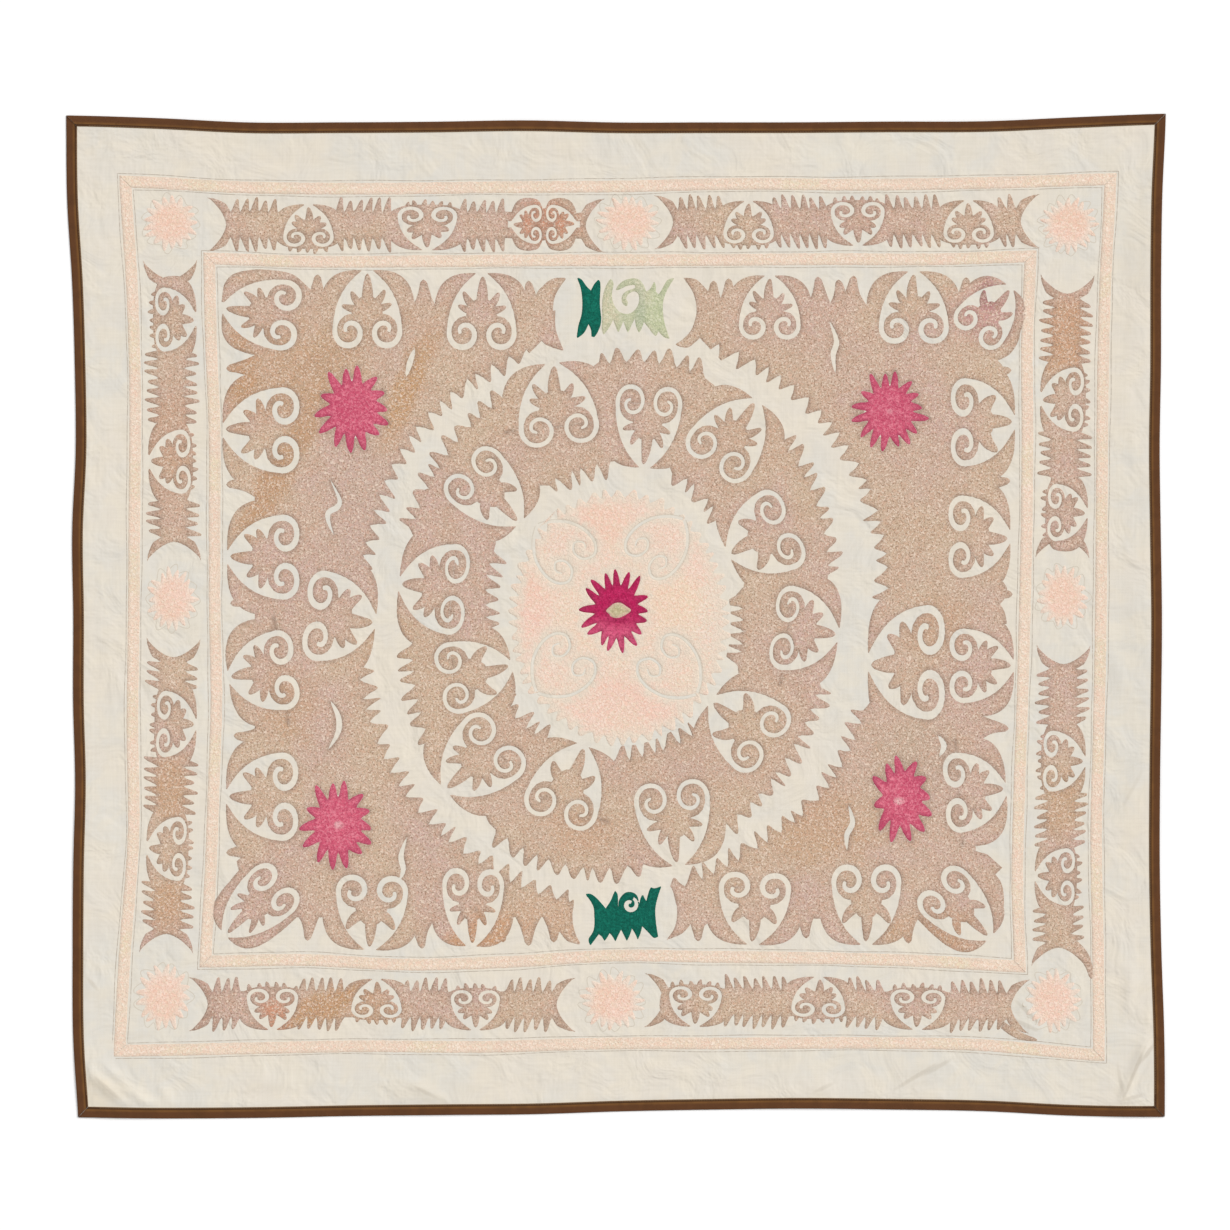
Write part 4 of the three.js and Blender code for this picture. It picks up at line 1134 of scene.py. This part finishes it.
# Slits left open in the field, from one end to the other
fieldSlits = {
    "left": [[(-499, 236), (-484, 204), (-487, 190), (-503, 180), (-503, 164), (-494, 142)],
             [(-499, -150), (-486, -176), (-486, -204), (-503, -234)],
             [(-366, -388), (-376, -420), (-372, -444), (-378, -462)],
             [(-352, 467), (-360, 444), (-367, 418)]],
    "right": [[(374, 514), (386, 480), (380, 456), (384, 424)], [(564, -210), (574, -228), (566, -246)],
              [(407, -332), (414, -362), (404, -384), (404, -410)]],
}

def starAt(name, x, y, wide, tall, **more):
    return {"name": name, "x": x, "y": y, "wide": wide, "tall": tall, **more}


roseStars = [
    starAt("rose_star_top_left", -459, 362, 68, 77, petals=14, turn=4),
    starAt("rose_star_top_right", 479, 357, 66, 72, petals=16, turn=11),
    starAt("rose_star_bottom_left", -486, -366, 67, 79, petals=14, turn=0),
    starAt("rose_star_bottom_right", 501, -320, 56, 78, petals=12, turn=8),
]
centreStar = {"x": 1, "y": 7, "petals": 17, "wide": 63, "tall": 76, "turn": 5, "waist": 0.62, "seed": 2}
starEye = [(-17, 8), (-12, 14), (-3, 21), (8, 22), (18, 16), (26, 9), (16, 1), (4, -4), (-8, -2), (-12, 3)]
centrePalmettes = [
    placed(-97, 118, 136, 54, 56), placed(78, 126, 46, 52, 58), placed(-99, -94, 226, 56, 56),
    placed(100, -96, 315, 54, 58),
]
for palmette in ringPalmettes + centrePalmettes:
    palmette["scroll"] = slimScroll


def ringPlace(radii, angle, out=0.0):
    # the place on a round outline of even steps at an angle, and further out
    count = len(radii)
    share = (angle % (2 * math.pi)) / (2 * math.pi) * count
    cell = int(math.floor(share))
    reach = blendFour(*[radii[(cell + k) % count] for k in (-1, 0, 1, 2)], share - cell) + out
    return medallion["x"] + reach * math.cos(angle), medallion["y"] + reach * math.sin(angle)


# A tooth across its width and its depth
sawTooth = [(0.0, 0.0), (0.13, 0.20), (0.27, 0.58), (0.40, 0.92), (0.50, 1.0), (0.60, 0.86), (0.72, 0.50),
            (0.88, 0.18)]
fingerTooth = [(0.0, 0.0), (0.14, 0.22), (0.23, 0.56), (0.34, 0.88), (0.46, 1.0), (0.58, 0.94),
               (0.70, 0.64), (0.84, 0.26)]


def toothedRing(radii, teeth, depth, shape, lean, seed, gaps=()):
    # depth is out from the roots, or in where it is under 0; the gaps, in degrees, have no teeth
    starts = [index + 0.26 * uneven(index, seed) for index in range(teeth)]
    outline = []
    for index in range(teeth):
        start = starts[index]
        end = starts[(index + 1) % teeth] + (teeth if index == teeth - 1 else 0)
        degrees = (start + end) * 180 / teeth
        around = [(degrees + turn - low) / (high - low) for low, high in gaps for turn in (0, 360)]
        within = [share for share in around if 0 < share < 1]
        if within:
            dip = math.copysign(medallion["dip"] * math.sin(math.pi * within[0]), -depth)
            outline.append(ringPlace(radii, math.radians(degrees), dip))
            continue
        length = depth * (1.08 + 0.24 * uneven(index, seed + 1))
        slant = lean + 0.16 * uneven(index, seed + 2)
        for across, out in shape:
            angle = (start + (end - start) * (across + slant * out)) * 2 * math.pi / teeth
            outline.append(ringPlace(radii, angle, length * out))
    return np.array(outline)


starPetal = [(0.0, 0.0), (0.10, 0.12), (0.20, 0.42), (0.32, 0.78), (0.44, 1.0), (0.56, 0.97), (0.68, 0.72),
             (0.80, 0.38), (0.90, 0.12)]


def starShape(star, grow=0.0):
    # narrow petals with rounded shoulders and pointed tips
    petals = star["petals"]
    waist = star.get("waist", 0.62)
    seed = star.get("seed", 0)
    outline = []
    for index in range(petals):
        for across, out in starPetal:
            lean = 0.26 * uneven(index, seed + 5) * out
            angle = 2 * math.pi * (index - 0.5 + across + lean) / petals + math.radians(star.get("turn", 0))
            reach = waist + (1 - waist) * out * (0.90 + 0.26 * uneven(index * 2, seed))
            outline.append((star["x"] + (star["wide"] + grow) * reach * math.cos(angle),
                            star["y"] + (star["tall"] + grow) * reach * math.sin(angle)))
    return np.array(outline)


def slitShape(points, wide):
    line = flow(points, 4)
    left = []
    right = []
    for index, place in enumerate(line):
        before = line[max(index - 1, 0)]
        after = line[min(index + 1, len(line) - 1)]
        along = (after - before) / np.hypot(*(after - before))
        share = index / (len(line) - 1)
        size = wide * math.sin(math.pi * share) ** 0.8
        left.append(place + np.array([-along[1], along[0]]) * size)
        right.append(place - np.array([-along[1], along[0]]) * size)
    return np.array(left + right[-2:0:-1])


fingerProfile = (2.8, 2.15, 1.42, 0.98, 0.58)


def makeField(half, palmettes, teeth):
    shapes = [("add", joined(fieldCorners[half])), ("cut", toothedRing(
        medallion["field"], medallion["fieldTeeth"], -medallion["tooth"], sawTooth, 0.10, 3,
        medallion["fieldGaps"]))]
    shapes += [("add", joined(horn)) for horn in fieldHorns[half]]
    for row in teeth:
        angle = math.radians(row["tip"])
        for x, y in row["places"]:
            base = (x - 60 * math.cos(angle), y - 60 * math.sin(angle))
            shapes.append(("add", leafShape(base, (x, y), 9.5, 0.07 * uneven(x + y), fingerProfile)))
    shapes += palmetteShapes(palmettes)
    shapes += [("cut", slitShape(slit, 5.0)) for slit in fieldSlits[half]]
    shapes += [("cut", starShape(star)) for star in roseStars]
    makeStitched("field_" + half, shapes, "tan")


def makeRing():
    tooth = medallion["tooth"]
    room = [ringPlace(medallion["centre"], 2 * math.pi * step / 72, medallion["room"]) for step in range(72)]
    shapes = [
        ("add", toothedRing(medallion["outer"], medallion["outerTeeth"], tooth, fingerTooth, 0.05, 5,
                            medallion["outerGaps"])),
        ("cut", toothedRing(medallion["inner"], medallion["innerTeeth"], -tooth, fingerTooth, 0.08, 7,
                            medallion["innerGaps"])),
        *palmetteShapes(ringPalmettes), ("cut", np.array(room)),
    ]
    makeStitched("medallion_ring", shapes, "tan")


makeField("left", leftPalmettes, leftTeeth)
makeField("right", rightPalmettes, rightTeeth)
print("field stitched")
makeRing()


def asideOf(line):
    # one step to the left of a line at each of its points
    ahead = np.gradient(line, axis=0)
    ahead = ahead / np.maximum(np.hypot(ahead[:, 0], ahead[:, 1])[:, None], 1e-6)
    return np.stack([-ahead[:, 1], ahead[:, 0]], 1)


# A channel of the centre from its tip down and round into its curl, as shares of half and rise
channelLine = [(0.42, 0.78), (0.80, 0.36), (0.97, -0.18), (0.90, -0.66), (0.60, -0.90), (0.26, -0.74),
               (0.20, -0.40), (0.44, -0.20), (0.64, -0.38), (0.56, -0.58)]
channelWidth = 2.8


def channelShape(palmette, side):
    # a narrow channel round one half of a palmette of the centre, with its curl
    half = palmette["half"]
    rise = palmette["rise"]
    middle = flow([(2, rise)] + [(half * x, rise * y) for x, y in channelLine], 4)
    aside = asideOf(middle) * channelWidth * (1 - np.linspace(0, 1, len(middle)) ** 3 * 0.6)[:, None]
    return setDown(np.concatenate([middle + aside, (middle - aside)[::-1]]) * (side, 1), palmette)


centreShapes = [("add", toothedRing(medallion["centre"], medallion["centreTeeth"], medallion["centreTooth"],
                                    fingerTooth, 0.0, 11))]
centreShapes += [("cut", channelShape(palmette, side)) for palmette in centrePalmettes for side in (-1, 1)]
centreShapes.append(("cut", starShape(centreStar)))
makeStitched("medallion_centre", centreShapes, "centre", fade=20.0)
eyeShape = flow(starEye, 4, closed=True)
makeStitched("centre_star", [("add", starShape(centreStar)), ("cut", eyeShape)], "magenta", grid=4.0)
makeStitched("star_eye", [("add", eyeShape)], "eye", stands=False, grid=3.0)
strayShape = leafShape((13, 64), (27, 83), 2.2, 0.16)
makeStitched("stray", [("add", strayShape)], "stray_dark", stands=False, least=5.0)
for star in roseStars:
    makeStitched(star["name"], [("add", starShape(star))], "rose", grid=4.0)
print("medallion and stars stitched")


borderLie = {
    "foot": 4, "footPitch": 15, "half": 47, "tooth": 24, "pitch": 16.5, "bite": 31, "sway": 0.36,
    "leafWide": 0.14, "horn": [(10, 1.5), (22, 6), (31, 11)],
}
runTooth = [(0.0, 0.0), (0.12, 0.20), (0.22, 0.58), (0.32, 0.90), (0.44, 1.0), (0.57, 0.98), (0.69, 0.80),
            (0.79, 0.46), (0.90, 0.14)]

# Each run from one rosette to the next, with its palmettes: the place along and across the run, the
# turn of the tip, half the width and the rise; tails are leaves beyond its end
borderRuns = [
    {"name": "border_top_left", "from": (-713, 684), "to": (-22, 682),
     "palmettes": [(175, -3, 90, 44, 35), (383, -4, -90, 52, 36), (558, 2, 180, 34, 25),
                   (616, 2, 0, 34, 25)]},
    {"name": "border_top_right", "from": (69, 688), "to": (739, 690),
     "palmettes": [(163, -2, 90, 44, 35), (354, -2, -90, 47, 36), (548, -2, 90, 44, 35)]},
    {"name": "border_left_top", "from": (-780, 619), "to": (-773, 98),
     "palmettes": [(101, 7, 90, 56, 34), (350, -4, -90, 56, 35)]},
    {"name": "border_left_bottom", "from": (-774, -42), "to": (-787, -588),
     "palmettes": [(148, 7, 90, 58, 33), (366, -2, -90, 56, 33)]},
    {"name": "border_right_top", "from": (790, 594), "to": (781, 103),
     "palmettes": [(216, -4, -90, 56, 36), (414, 6, 90, 50, 33)]},
    {"name": "border_right_bottom", "from": (783, -54), "to": (774, -612),
     "tails": [((800, -572), (832, -637), 8, 0.1)],
     "palmettes": [(201, 3, 90, 53, 35), (403, -7, -90, 50, 33)]},
    {"name": "border_bottom_left", "from": (-745, -680), "to": (-73, -681),
     "palmettes": [(144, -7, -90, 45, 34), (326, 9, 90, 44, 32), (499, -8, -90, 43, 33)]},
    {"name": "border_bottom_right", "from": (52, -673), "to": (722, -684),
     "tails": [((676, -716), (738, -743), 7, -0.08)],
     "palmettes": [(87, -8, -90, 46, 33), (302, 9, 90, 47, 33), (476, -7, -90, 48, 33)]},
]


def runEdge(length, facing, palmettes, seed):
    # the edge between the horns, with finger teeth where no palmette stands
    half = borderLie["half"]
    root = half - borderLie["tooth"]
    sway = borderLie["sway"] * uneven(seed, 0.4)
    first = borderLie["bite"] + 8
    count = int(round((length - 2 * first) / borderLie["pitch"]))
    pitch = (length - 2 * first) / count
    line = [(x, facing * (half - low)) for x, low in borderLie["horn"]]
    for index in range(count):
        start = first + index * pitch
        middle = start + pitch / 2
        clear = all(abs(middle - p["along"]) > p["half"] + 4 for p in palmettes)
        line.append((start, facing * (root + 1.5 * uneven(index, seed))))
        if not clear:
            continue
        deep = borderLie["tooth"] * (1 + 0.16 * uneven(index, seed + 1)) - 1.5
        lean = sway + 0.14 * uneven(index, seed + 2)
        for across, out in runTooth[1:]:
            line.append((start + pitch * (across + lean * out), facing * (root + deep * out)))
    line.append((length - first, facing * root))
    return line + [(length - x, facing * (half - low)) for x, low in borderLie["horn"][::-1]]


def runShape(length, palmettes, seed):
    half = borderLie["half"]
    bite = borderLie["bite"]
    rows = np.linspace(0.92, -0.92, 15)
    startBite = [(bite * (1 - abs(row) ** 1.7), half * row) for row in rows]
    endBite = [(length - x, -y) for x, y in startBite]
    outline = [(-3, half)] + startBite + [(-3, -half)]
    outline += runEdge(length, -1, palmettes, seed)
    outline += [(length + 3, -half)] + endBite + [(length + 3, half)]
    outline += runEdge(length, 1, palmettes, seed + 3)[::-1]
    return np.array(outline, float)


def footTeeth(palmette, seed):
    # small teeth behind the curls of a palmette
    half = palmette["half"]
    rise = palmette["rise"]
    pitch = borderLie["footPitch"]
    count = int(half * 2 / pitch)
    shapes = []
    for index in range(count):
        x = (index + 0.5 - count / 2) * pitch
        away = abs(x) / half
        low = rise + palmette["foot"] - 10 * away ** 4
        tip = (x + 5 * uneven(index, seed), -low - 8 + 2 * uneven(index, seed + 1))
        shape = leafShape((x, -low + 6), tip, 4.6, 0.08 * uneven(index, seed + 2))
        shapes.append(setDown(shape, palmette))
    return shapes


def makeRun(run, seed):
    (startX, startY), (endX, endY) = run["from"], run["to"]
    length = math.hypot(endX - startX, endY - startY)
    heading = math.degrees(math.atan2(endY - startY, endX - startX))
    palmettes = []
    for along, across, tip, half, rise in run["palmettes"]:
        x, y = turned([(along, across)], heading, startX, startY)[0]
        palmettes.append(placed(x, y, heading + tip, half, rise, along=along, foot=borderLie["foot"],
                                leafWide=borderLie["leafWide"]))
    shapes = [("add", turned(runShape(length, palmettes, seed), heading, startX, startY))]
    shapes += [("add", leafShape(*tail)) for tail in run.get("tails", ())]
    for palmette in palmettes:
        shapes += [("add", shape) for shape in footTeeth(palmette, seed)]
    makeStitched(run["name"], shapes + palmetteShapes(palmettes), "tan")


for seed, run in enumerate(borderRuns):
    makeRun(run, 20 + seed * 7)
print("border runs stitched")

rosettes = [starAt(*row) for row in (
    ("rosette_top_left", -779, 687, 50, 50), ("rosette_top", 22, 688, 56, 49),
    ("rosette_top_right", 793, 683, 52, 50), ("rosette_right", 781, 33, 46, 57),
    ("rosette_bottom_right", 765, -674, 50, 56), ("rosette_bottom", -6, -674, 57, 53),
    ("rosette_bottom_left", -791, -667, 49, 60), ("rosette_left", -776, 28, 46, 57),
)]
for index, rosette in enumerate(rosettes):
    shape = starShape({**rosette, "petals": 17 + index % 3, "waist": 0.70, "seed": 30 + index})
    makeStitched(rosette["name"], [("add", shape)], "blush", grid=4.5, fade=12.0)
print("rosettes stitched")

# Green fillings round their edges, in smooth parts between the tips and valleys
greenBlocks = [
    {"name": "green_top_dark", "slot": "green", "parts": [
        [(-69, 592), (-60, 588), (-52, 577), (-44, 569)], [(-38, 580), (-31, 588)],
        [(-27, 580), (-28, 545), (-26, 512), (-36, 489), (-43, 488)], [(-44, 500), (-48, 509)],
        [(-56, 494), (-69, 484)], [(-66, 506), (-60, 528), (-59, 552), (-62, 574), (-69, 592)]]},
    {"name": "green_top_light", "slot": "sage", "parts": [
        [(-24, 520), (-24, 548), (-20, 570), (-13, 585), (-8, 589)],
        [(-4, 580), (-7, 562), (-4, 545), (7, 531), (22, 528), (34, 536), (40, 549),
         (39, 562), (31, 567), (22, 562), (18, 555), (21, 547), (18, 541), (11, 547), (10, 557), (16, 566),
         (33, 573)],
        [(32, 578), (18, 576), (6, 570), (-1, 569)],
        [(4, 578), (14, 586), (28, 590), (40, 588), (48, 579), (53, 567)], [(60, 572), (67, 586)],
        [(70, 576), (70, 567), (75, 562)], [(82, 574), (90, 587), (103, 591)],
        [(92, 574), (84, 555), (82, 536), (85, 512), (94, 484)], [(84, 487), (74, 497)],
        [(69, 489), (57, 503), (49, 513)], [(45, 502), (40, 494)], [(35, 506), (33, 519)],
        [(27, 507), (21, 493)], [(17, 503), (13, 514)], [(8, 503), (4, 493)], [(0, 504), (-5, 517)],
        [(-11, 505), (-22, 490)], [(-25, 503), (-24, 520)]]},
    {"name": "green_bottom", "slot": "green", "parts": [
        [(-54, -487), (-44, -487), (-33, -495), (-18, -512)], [(-9, -498), (-2, -481)],
        [(3, -488), (4, -508)], [(6, -496), (16, -485), (28, -484), (37, -490), (41, -503)],
        [(43, -494), (47, -487)], [(50, -494), (53, -499)], [(57, -484), (61, -475)],
        [(68, -477), (80, -473)], [(74, -490), (69, -512), (70, -536), (74, -562)],
        [(66, -564), (56, -554), (46, -544)], [(43, -556), (38, -568)], [(34, -558), (28, -548)],
        [(24, -560), (19, -570)], [(14, -560), (9, -550)], [(4, -560), (-1, -571)],
        [(-6, -562), (-11, -556)], [(-15, -563), (-20, -570)], [(-25, -562), (-30, -558)],
        [(-36, -566), (-45, -578)], [(-48, -566), (-39, -550), (-38, -524), (-41, -506), (-54, -487)]]},
]
greenCurls = {"green_bottom": {"x": 25, "y": -506, "size": 11}}


def curlShape(curl):
    # one open curl of cloth in the thread
    left = []
    right = []
    for step in range(19):
        angle = math.radians(64 - step * 20)
        reach = curl["size"] * (1.12 - 0.040 * step)
        wide = 1.6 + 2.4 * math.sin(math.pi * (step + 2) / 22)
        for side, line in ((1, left), (-1, right)):
            line.append((curl["x"] + (reach + side * wide) * math.cos(angle),
                         curl["y"] + (reach + side * wide) * math.sin(angle)))
    return np.array(left + right[::-1])


for block in greenBlocks:
    shapes = [("add", joined(block["parts"]))]
    if block["name"] in greenCurls:
        shapes.append(("cut", curlShape(greenCurls[block["name"]])))
    makeStitched(block["name"], shapes, block["slot"], least=20.0, grid=4.0)
print("green fillings stitched")


outerBandEdge = {
    "bottomLeft": (-879, -772), "bottomRight": (855, -780),
    "topLeft": (-869, 770), "topRight": (876, 774),
    "top": [0, 11, 14, 12, 11, 7, 9, 6, 0],
    "right": [0, 4, 10, 8, 7, 8, 9, 7, 0],
    "bottom": [0, 5, 10, 10, 17, 18, 20, 17, 0],
    "left": [0, 9, 22, 19, 20, 20, 20, 13, 0],
}
innerBandEdge = {
    "bottomLeft": (-729, -616), "bottomRight": (717, -625),
    "topLeft": (-722, 635), "topRight": (736, 639),
    "top": [0, 6, 6, 5, 5, 5, 4, 5, 0],
    "right": [0, 7, 6, 3, 1, 0, 1, 4, 0],
    "bottom": [0, 4, -3, 3, 15, 14, 13, 9, 0],
    "left": [0, 8, 13, 17, 13, 12, 11, 4, 0],
}
bandLie = {
    "width": 21.0, "step": 5.0, "seam": 0.3, "rim": 8.0,
    "profile": (0.0, 1.2, 3.0, 7.0, 10.5, 14.0, 18.0, 19.8, 21.0),
}


def bandTint(distance, seed):
    # lengths of cream and pink thread, one after another
    ends = []
    values = []
    reach = 0.0
    index = 0
    while reach < distance[-1] + 200:
        reach += 62 + 34 * uneven(index, seed)
        ends.append(reach)
        values.append(0.5 + 0.5 * uneven(index, seed + 1) if index % 2 else 0.12)
        index += 1
    knots = []
    shades = []
    start = 0.0
    for end, value in zip(ends, values):
        knots += [start + 5, end - 5]
        shades += [value, value]
        start = end
    return np.interp(distance, knots, shades)


def makeBand(edge, side, name):
    wide, tall = edgeSize(edge)
    length = wide if side in ("top", "bottom") else tall
    count = int(length / bandLie["step"])
    gap = bandLie["seam"] / length
    t = np.clip(np.linspace(0, 1, count + 1), gap, 1 - gap)
    points = []
    inward = []
    tint = bandTint(t * length, length + edge["bottomLeft"][0])
    for inset in bandLie["profile"]:
        x, y = sidePlace(edge, side, t, inset)
        ragged = 0.5 * np.sin(t * length / 4.7) * np.sin(t * length / 11.0)
        if inset in (0.0, bandLie["width"]):
            if side in ("top", "bottom"):
                y = y + ragged
            else:
                x = x + ragged
        away = min(inset, bandLie["width"] - inset)
        z = crownHeight(x, y, np.full_like(x, away)) + smallLift(x, y)
        points.append(np.stack([x, y, z], 1))
        inward.append(np.full(len(x), min(away / bandLie["rim"], 1.0)))
    rows = len(points)
    faces = gridFaces(rows, count + 1)
    piece = makeObject(name + "_thread", np.concatenate(points), faces, threads["peach"])
    writeValues(piece, "inward", np.concatenate(inward))
    writeValues(piece, "tint", np.tile(tint, rows))
    return settle(piece, [name])


for side in sides:
    makeBand(outerBandEdge, side, "outer_band_" + side)
    makeBand(innerBandEdge, side, "inner_band_" + side)
print("bands stitched")


def lineStrip(line, wide):
    # a thin strip along a line, just over the cloth
    aside = asideOf(line) * wide / 2
    points = []
    for side in (1, -1):
        x, y = (line + side * aside).T
        points.append(np.stack([x, y, clothLie["thick"] + drawnLie["over"] + smallLift(x, y)], 1))
    count = len(line)
    faces = [(k, k + 1, k + 1 + count, k + count) for k in range(count - 1)]
    return np.concatenate(points), faces


drawnLie = {"width": 1.3, "beside": 3.2, "over": 0.1, "faint": 0.8, "grow": 4.0}


def makeDrawnLines():
    lines = []
    for edge in (outerBandEdge, innerBandEdge):
        for side in sides:
            for inset in (-drawnLie["beside"], bandLie["width"] + drawnLie["beside"]):
                t = np.linspace(0, 1, 180)
                x, y = sidePlace(edge, side, t, inset)
                wander = 0.8 * np.sin(t * 23 + inset) + 0.5 * np.sin(t * 61)
                x, y = (x, y + wander) if side in ("top", "bottom") else (x + wander, y)
                lines.append(np.stack([x, y], 1))
    beside = len(lines)
    for index, rosette in enumerate(rosettes):
        star = {**rosette, "petals": 11 + index % 3, "waist": 0.78, "seed": 60 + index}
        lines.append(flow(starShape(star, drawnLie["grow"]), 2, closed=True))
    for palmette in centrePalmettes:
        for side in (-1, 1):
            channel = channelShape(palmette, side)
            lines += [channel[:30], channel[45:75]]
    points = []
    faces = []
    faint = []
    start = 0
    for index, line in enumerate(lines):
        strip, cells = lineStrip(line, drawnLie["width"])
        faint.append(np.full(len(strip), 0.0 if index < beside else drawnLie["faint"]))
        points.append(strip)
        faces += [tuple(index + start for index in cell) for cell in cells]
        start += len(strip)
    piece = makeObject("drawn_lines", np.concatenate(points), faces, lineMaterial)
    writeValues(piece, "faint", np.concatenate(faint))
    return settle(piece, [])


drawnLines = makeDrawnLines()
print("drawn lines made")

# A ribbed tape folded over the edge and mitred at the corners
tapeLie = {"top": 3.2, "seam": 0.3, "step": 6.0}

# Across the tape from under the cloth, round the edge and back over it: how far in from the edge, how
# high, and the share of the way in that its colour goes by
tapeSection = [
    (19.2, 0.62, 0.98), (18.4, 0.0, 0.95), (12.0, 0.0, 0.62), (4.0, 0.0, 0.2), (1.1, 0.1, 0.06),
    (0.25, 0.7, 0.02), (0.0, 1.6, 0.0), (0.25, 2.5, 0.02), (1.1, 3.05, 0.06), (4.0, 3.2, 0.2),
    (8.0, 3.2, 0.42), (12.0, 3.2, 0.62), (15.5, 3.2, 0.8), (17.4, 3.2, 0.92), (18.3, 3.18, 0.955),
    (18.9, 3.0, 0.985), (19.2, 2.7, 1.0), (19.2, 2.5, 1.0), (17.0, 2.5, 0.9), (8.0, 2.5, 0.4),
    (2.2, 2.4, 0.1), (1.3, 1.6, 0.06), (2.2, 0.8, 0.1), (8.0, 0.7, 0.4), (17.0, 0.7, 0.9),
    (19.2, 0.7, 1.0),
]


def makeBinding(side):
    wide, tall = edgeSize(clothEdge)
    length = wide if side in ("top", "bottom") else tall
    count = int(length / tapeLie["step"])
    t = np.linspace(0, 1, count + 1)
    gap = tapeLie["seam"] / length
    cut = np.clip(t, gap, 1 - gap)
    lift = waveHeight(*sidePlace(clothEdge, side, t, clothLie["tapeWidth"]))
    points = []
    across = []
    for inset, height, share in tapeSection:
        x, y = sidePlace(clothEdge, side, cut, inset)
        points.append(np.stack([x, y, lift + height], 1))
        across.append(np.full(len(x), share))
    rows = len(points)
    columns = count + 1
    faces = []
    for row in range(rows):
        here = row * columns
        following = (row + 1) % rows * columns
        faces += [(here + k, following + k, following + k + 1, here + k + 1) for k in range(count)]
    faces.append(tuple(row * columns for row in range(rows)))
    faces.append(tuple(row * columns + count for row in range(rows - 1, -1, -1)))
    piece = makeObject("binding_" + side + "_tape", np.concatenate(points), faces, tapeMaterial)
    shares = np.concatenate(across)
    writeValues(piece, "inward", shares)
    layer = piece.data.uv_layers.new(name="tape")
    distance = np.tile(t * length * mm, rows)
    corners = np.zeros(len(piece.data.loops), int)
    piece.data.loops.foreach_get("vertex_index", corners)
    layer.data.foreach_set("uv", np.stack([distance[corners], shares[corners] * 0.02], 1).ravel())
    return settle(piece, ["binding_" + side])


bindings = [makeBinding(side) for side in sides]
print("binding made")

stitchRow = {"inset": 17.6, "length": 3.0, "pitch": 4.6, "width": 0.7, "clear": 22, "section": (
    (0.0, -0.1), (0.2, 0.26), (0.8, 0.26), (1.0, -0.1))}


def makeTopStitches():
    wide, tall = edgeSize(clothEdge)
    points = []
    faces = []
    for side in sides:
        length = wide if side in ("top", "bottom") else tall
        run = length - 2 * stitchRow["clear"]
        count = int(run / stitchRow["pitch"])
        for index in range(count):
            middle = (stitchRow["clear"] + (index + 0.5) * run / count) / length
            reach = stitchRow["length"] / 2 / length
            x, y = sidePlace(clothEdge, side, np.array([middle - reach, middle + reach]), stitchRow["inset"])
            held = sidePlace(clothEdge, side, np.array([middle]), clothLie["tapeWidth"])
            z = float(waveHeight(*held)[0]) + tapeLie["top"]
            start = np.array([x[0], y[0]])
            along = np.array([x[1], y[1]]) - start
            aside = np.array([-along[1], along[0]]) / np.hypot(*along) * stitchRow["width"] / 2
            base = len(points)
            for share, lift in stitchRow["section"]:
                place = start + along * share
                points += [(*(place + aside), z + lift - 0.1), (*place, z + lift + 0.08),
                           (*(place - aside), z + lift - 0.1)]
            faces += [tuple(base + corner for corner in face) for face in gridFaces(4, 3)]
    piece = makeObject("binding_top_stitches", points, faces, tapeMaterial)
    writeValues(piece, "inward", np.full(len(points), 0.99))
    return settle(piece, [])


topStitches = makeTopStitches()
print("top stitches made")

floorSettings = {"half": 24.0, "level": -0.0002, "colour": (0.93, 0.93, 0.93, 1.0), "glow": 0.12}
lightSettings = {"world": 0.56, "sun": 1.86, "sunTilt": 42.0, "sunTurn": 128.0, "sunSoft": 26.0}


def makeFloor():
    steps = 12
    line = np.linspace(-floorSettings["half"], floorSettings["half"], steps + 1)
    gx, gy = np.meshgrid(line, line)
    points = np.stack([gx.ravel(), gy.ravel(), np.full(gx.size, floorSettings["level"])], 1) / mm
    material = bpy.data.materials.new("pale_floor")
    material.use_nodes = True
    feed(material.node_tree, material.node_tree.nodes["Principled BSDF"], {
        "Base Color": floorSettings["colour"], "Roughness": 0.9, "Specular IOR Level": 0.0,
        "Emission Color": (1.0, 1.0, 1.0, 1.0), "Emission Strength": floorSettings["glow"],
    })
    makeObject("floor", points, gridFaces(steps + 1, steps + 1), material, smooth=False)


makeFloor()
world = bpy.data.worlds.new("studio")
world.use_nodes = True
feed(world.node_tree, world.node_tree.nodes["Background"], {
    "Color": (1.0, 1.0, 1.0, 1.0), "Strength": lightSettings["world"],
})
scene.world = world

sunData = bpy.data.lights.new("softLight", "SUN")
sunData.energy = lightSettings["sun"]
sunData.angle = math.radians(lightSettings["sunSoft"])
sun = bpy.data.objects.new("softLight", sunData)
sun.rotation_euler = (math.radians(lightSettings["sunTilt"]), 0.0, math.radians(lightSettings["sunTurn"]))
scene.collection.objects.link(sun)
print("floor and light placed")
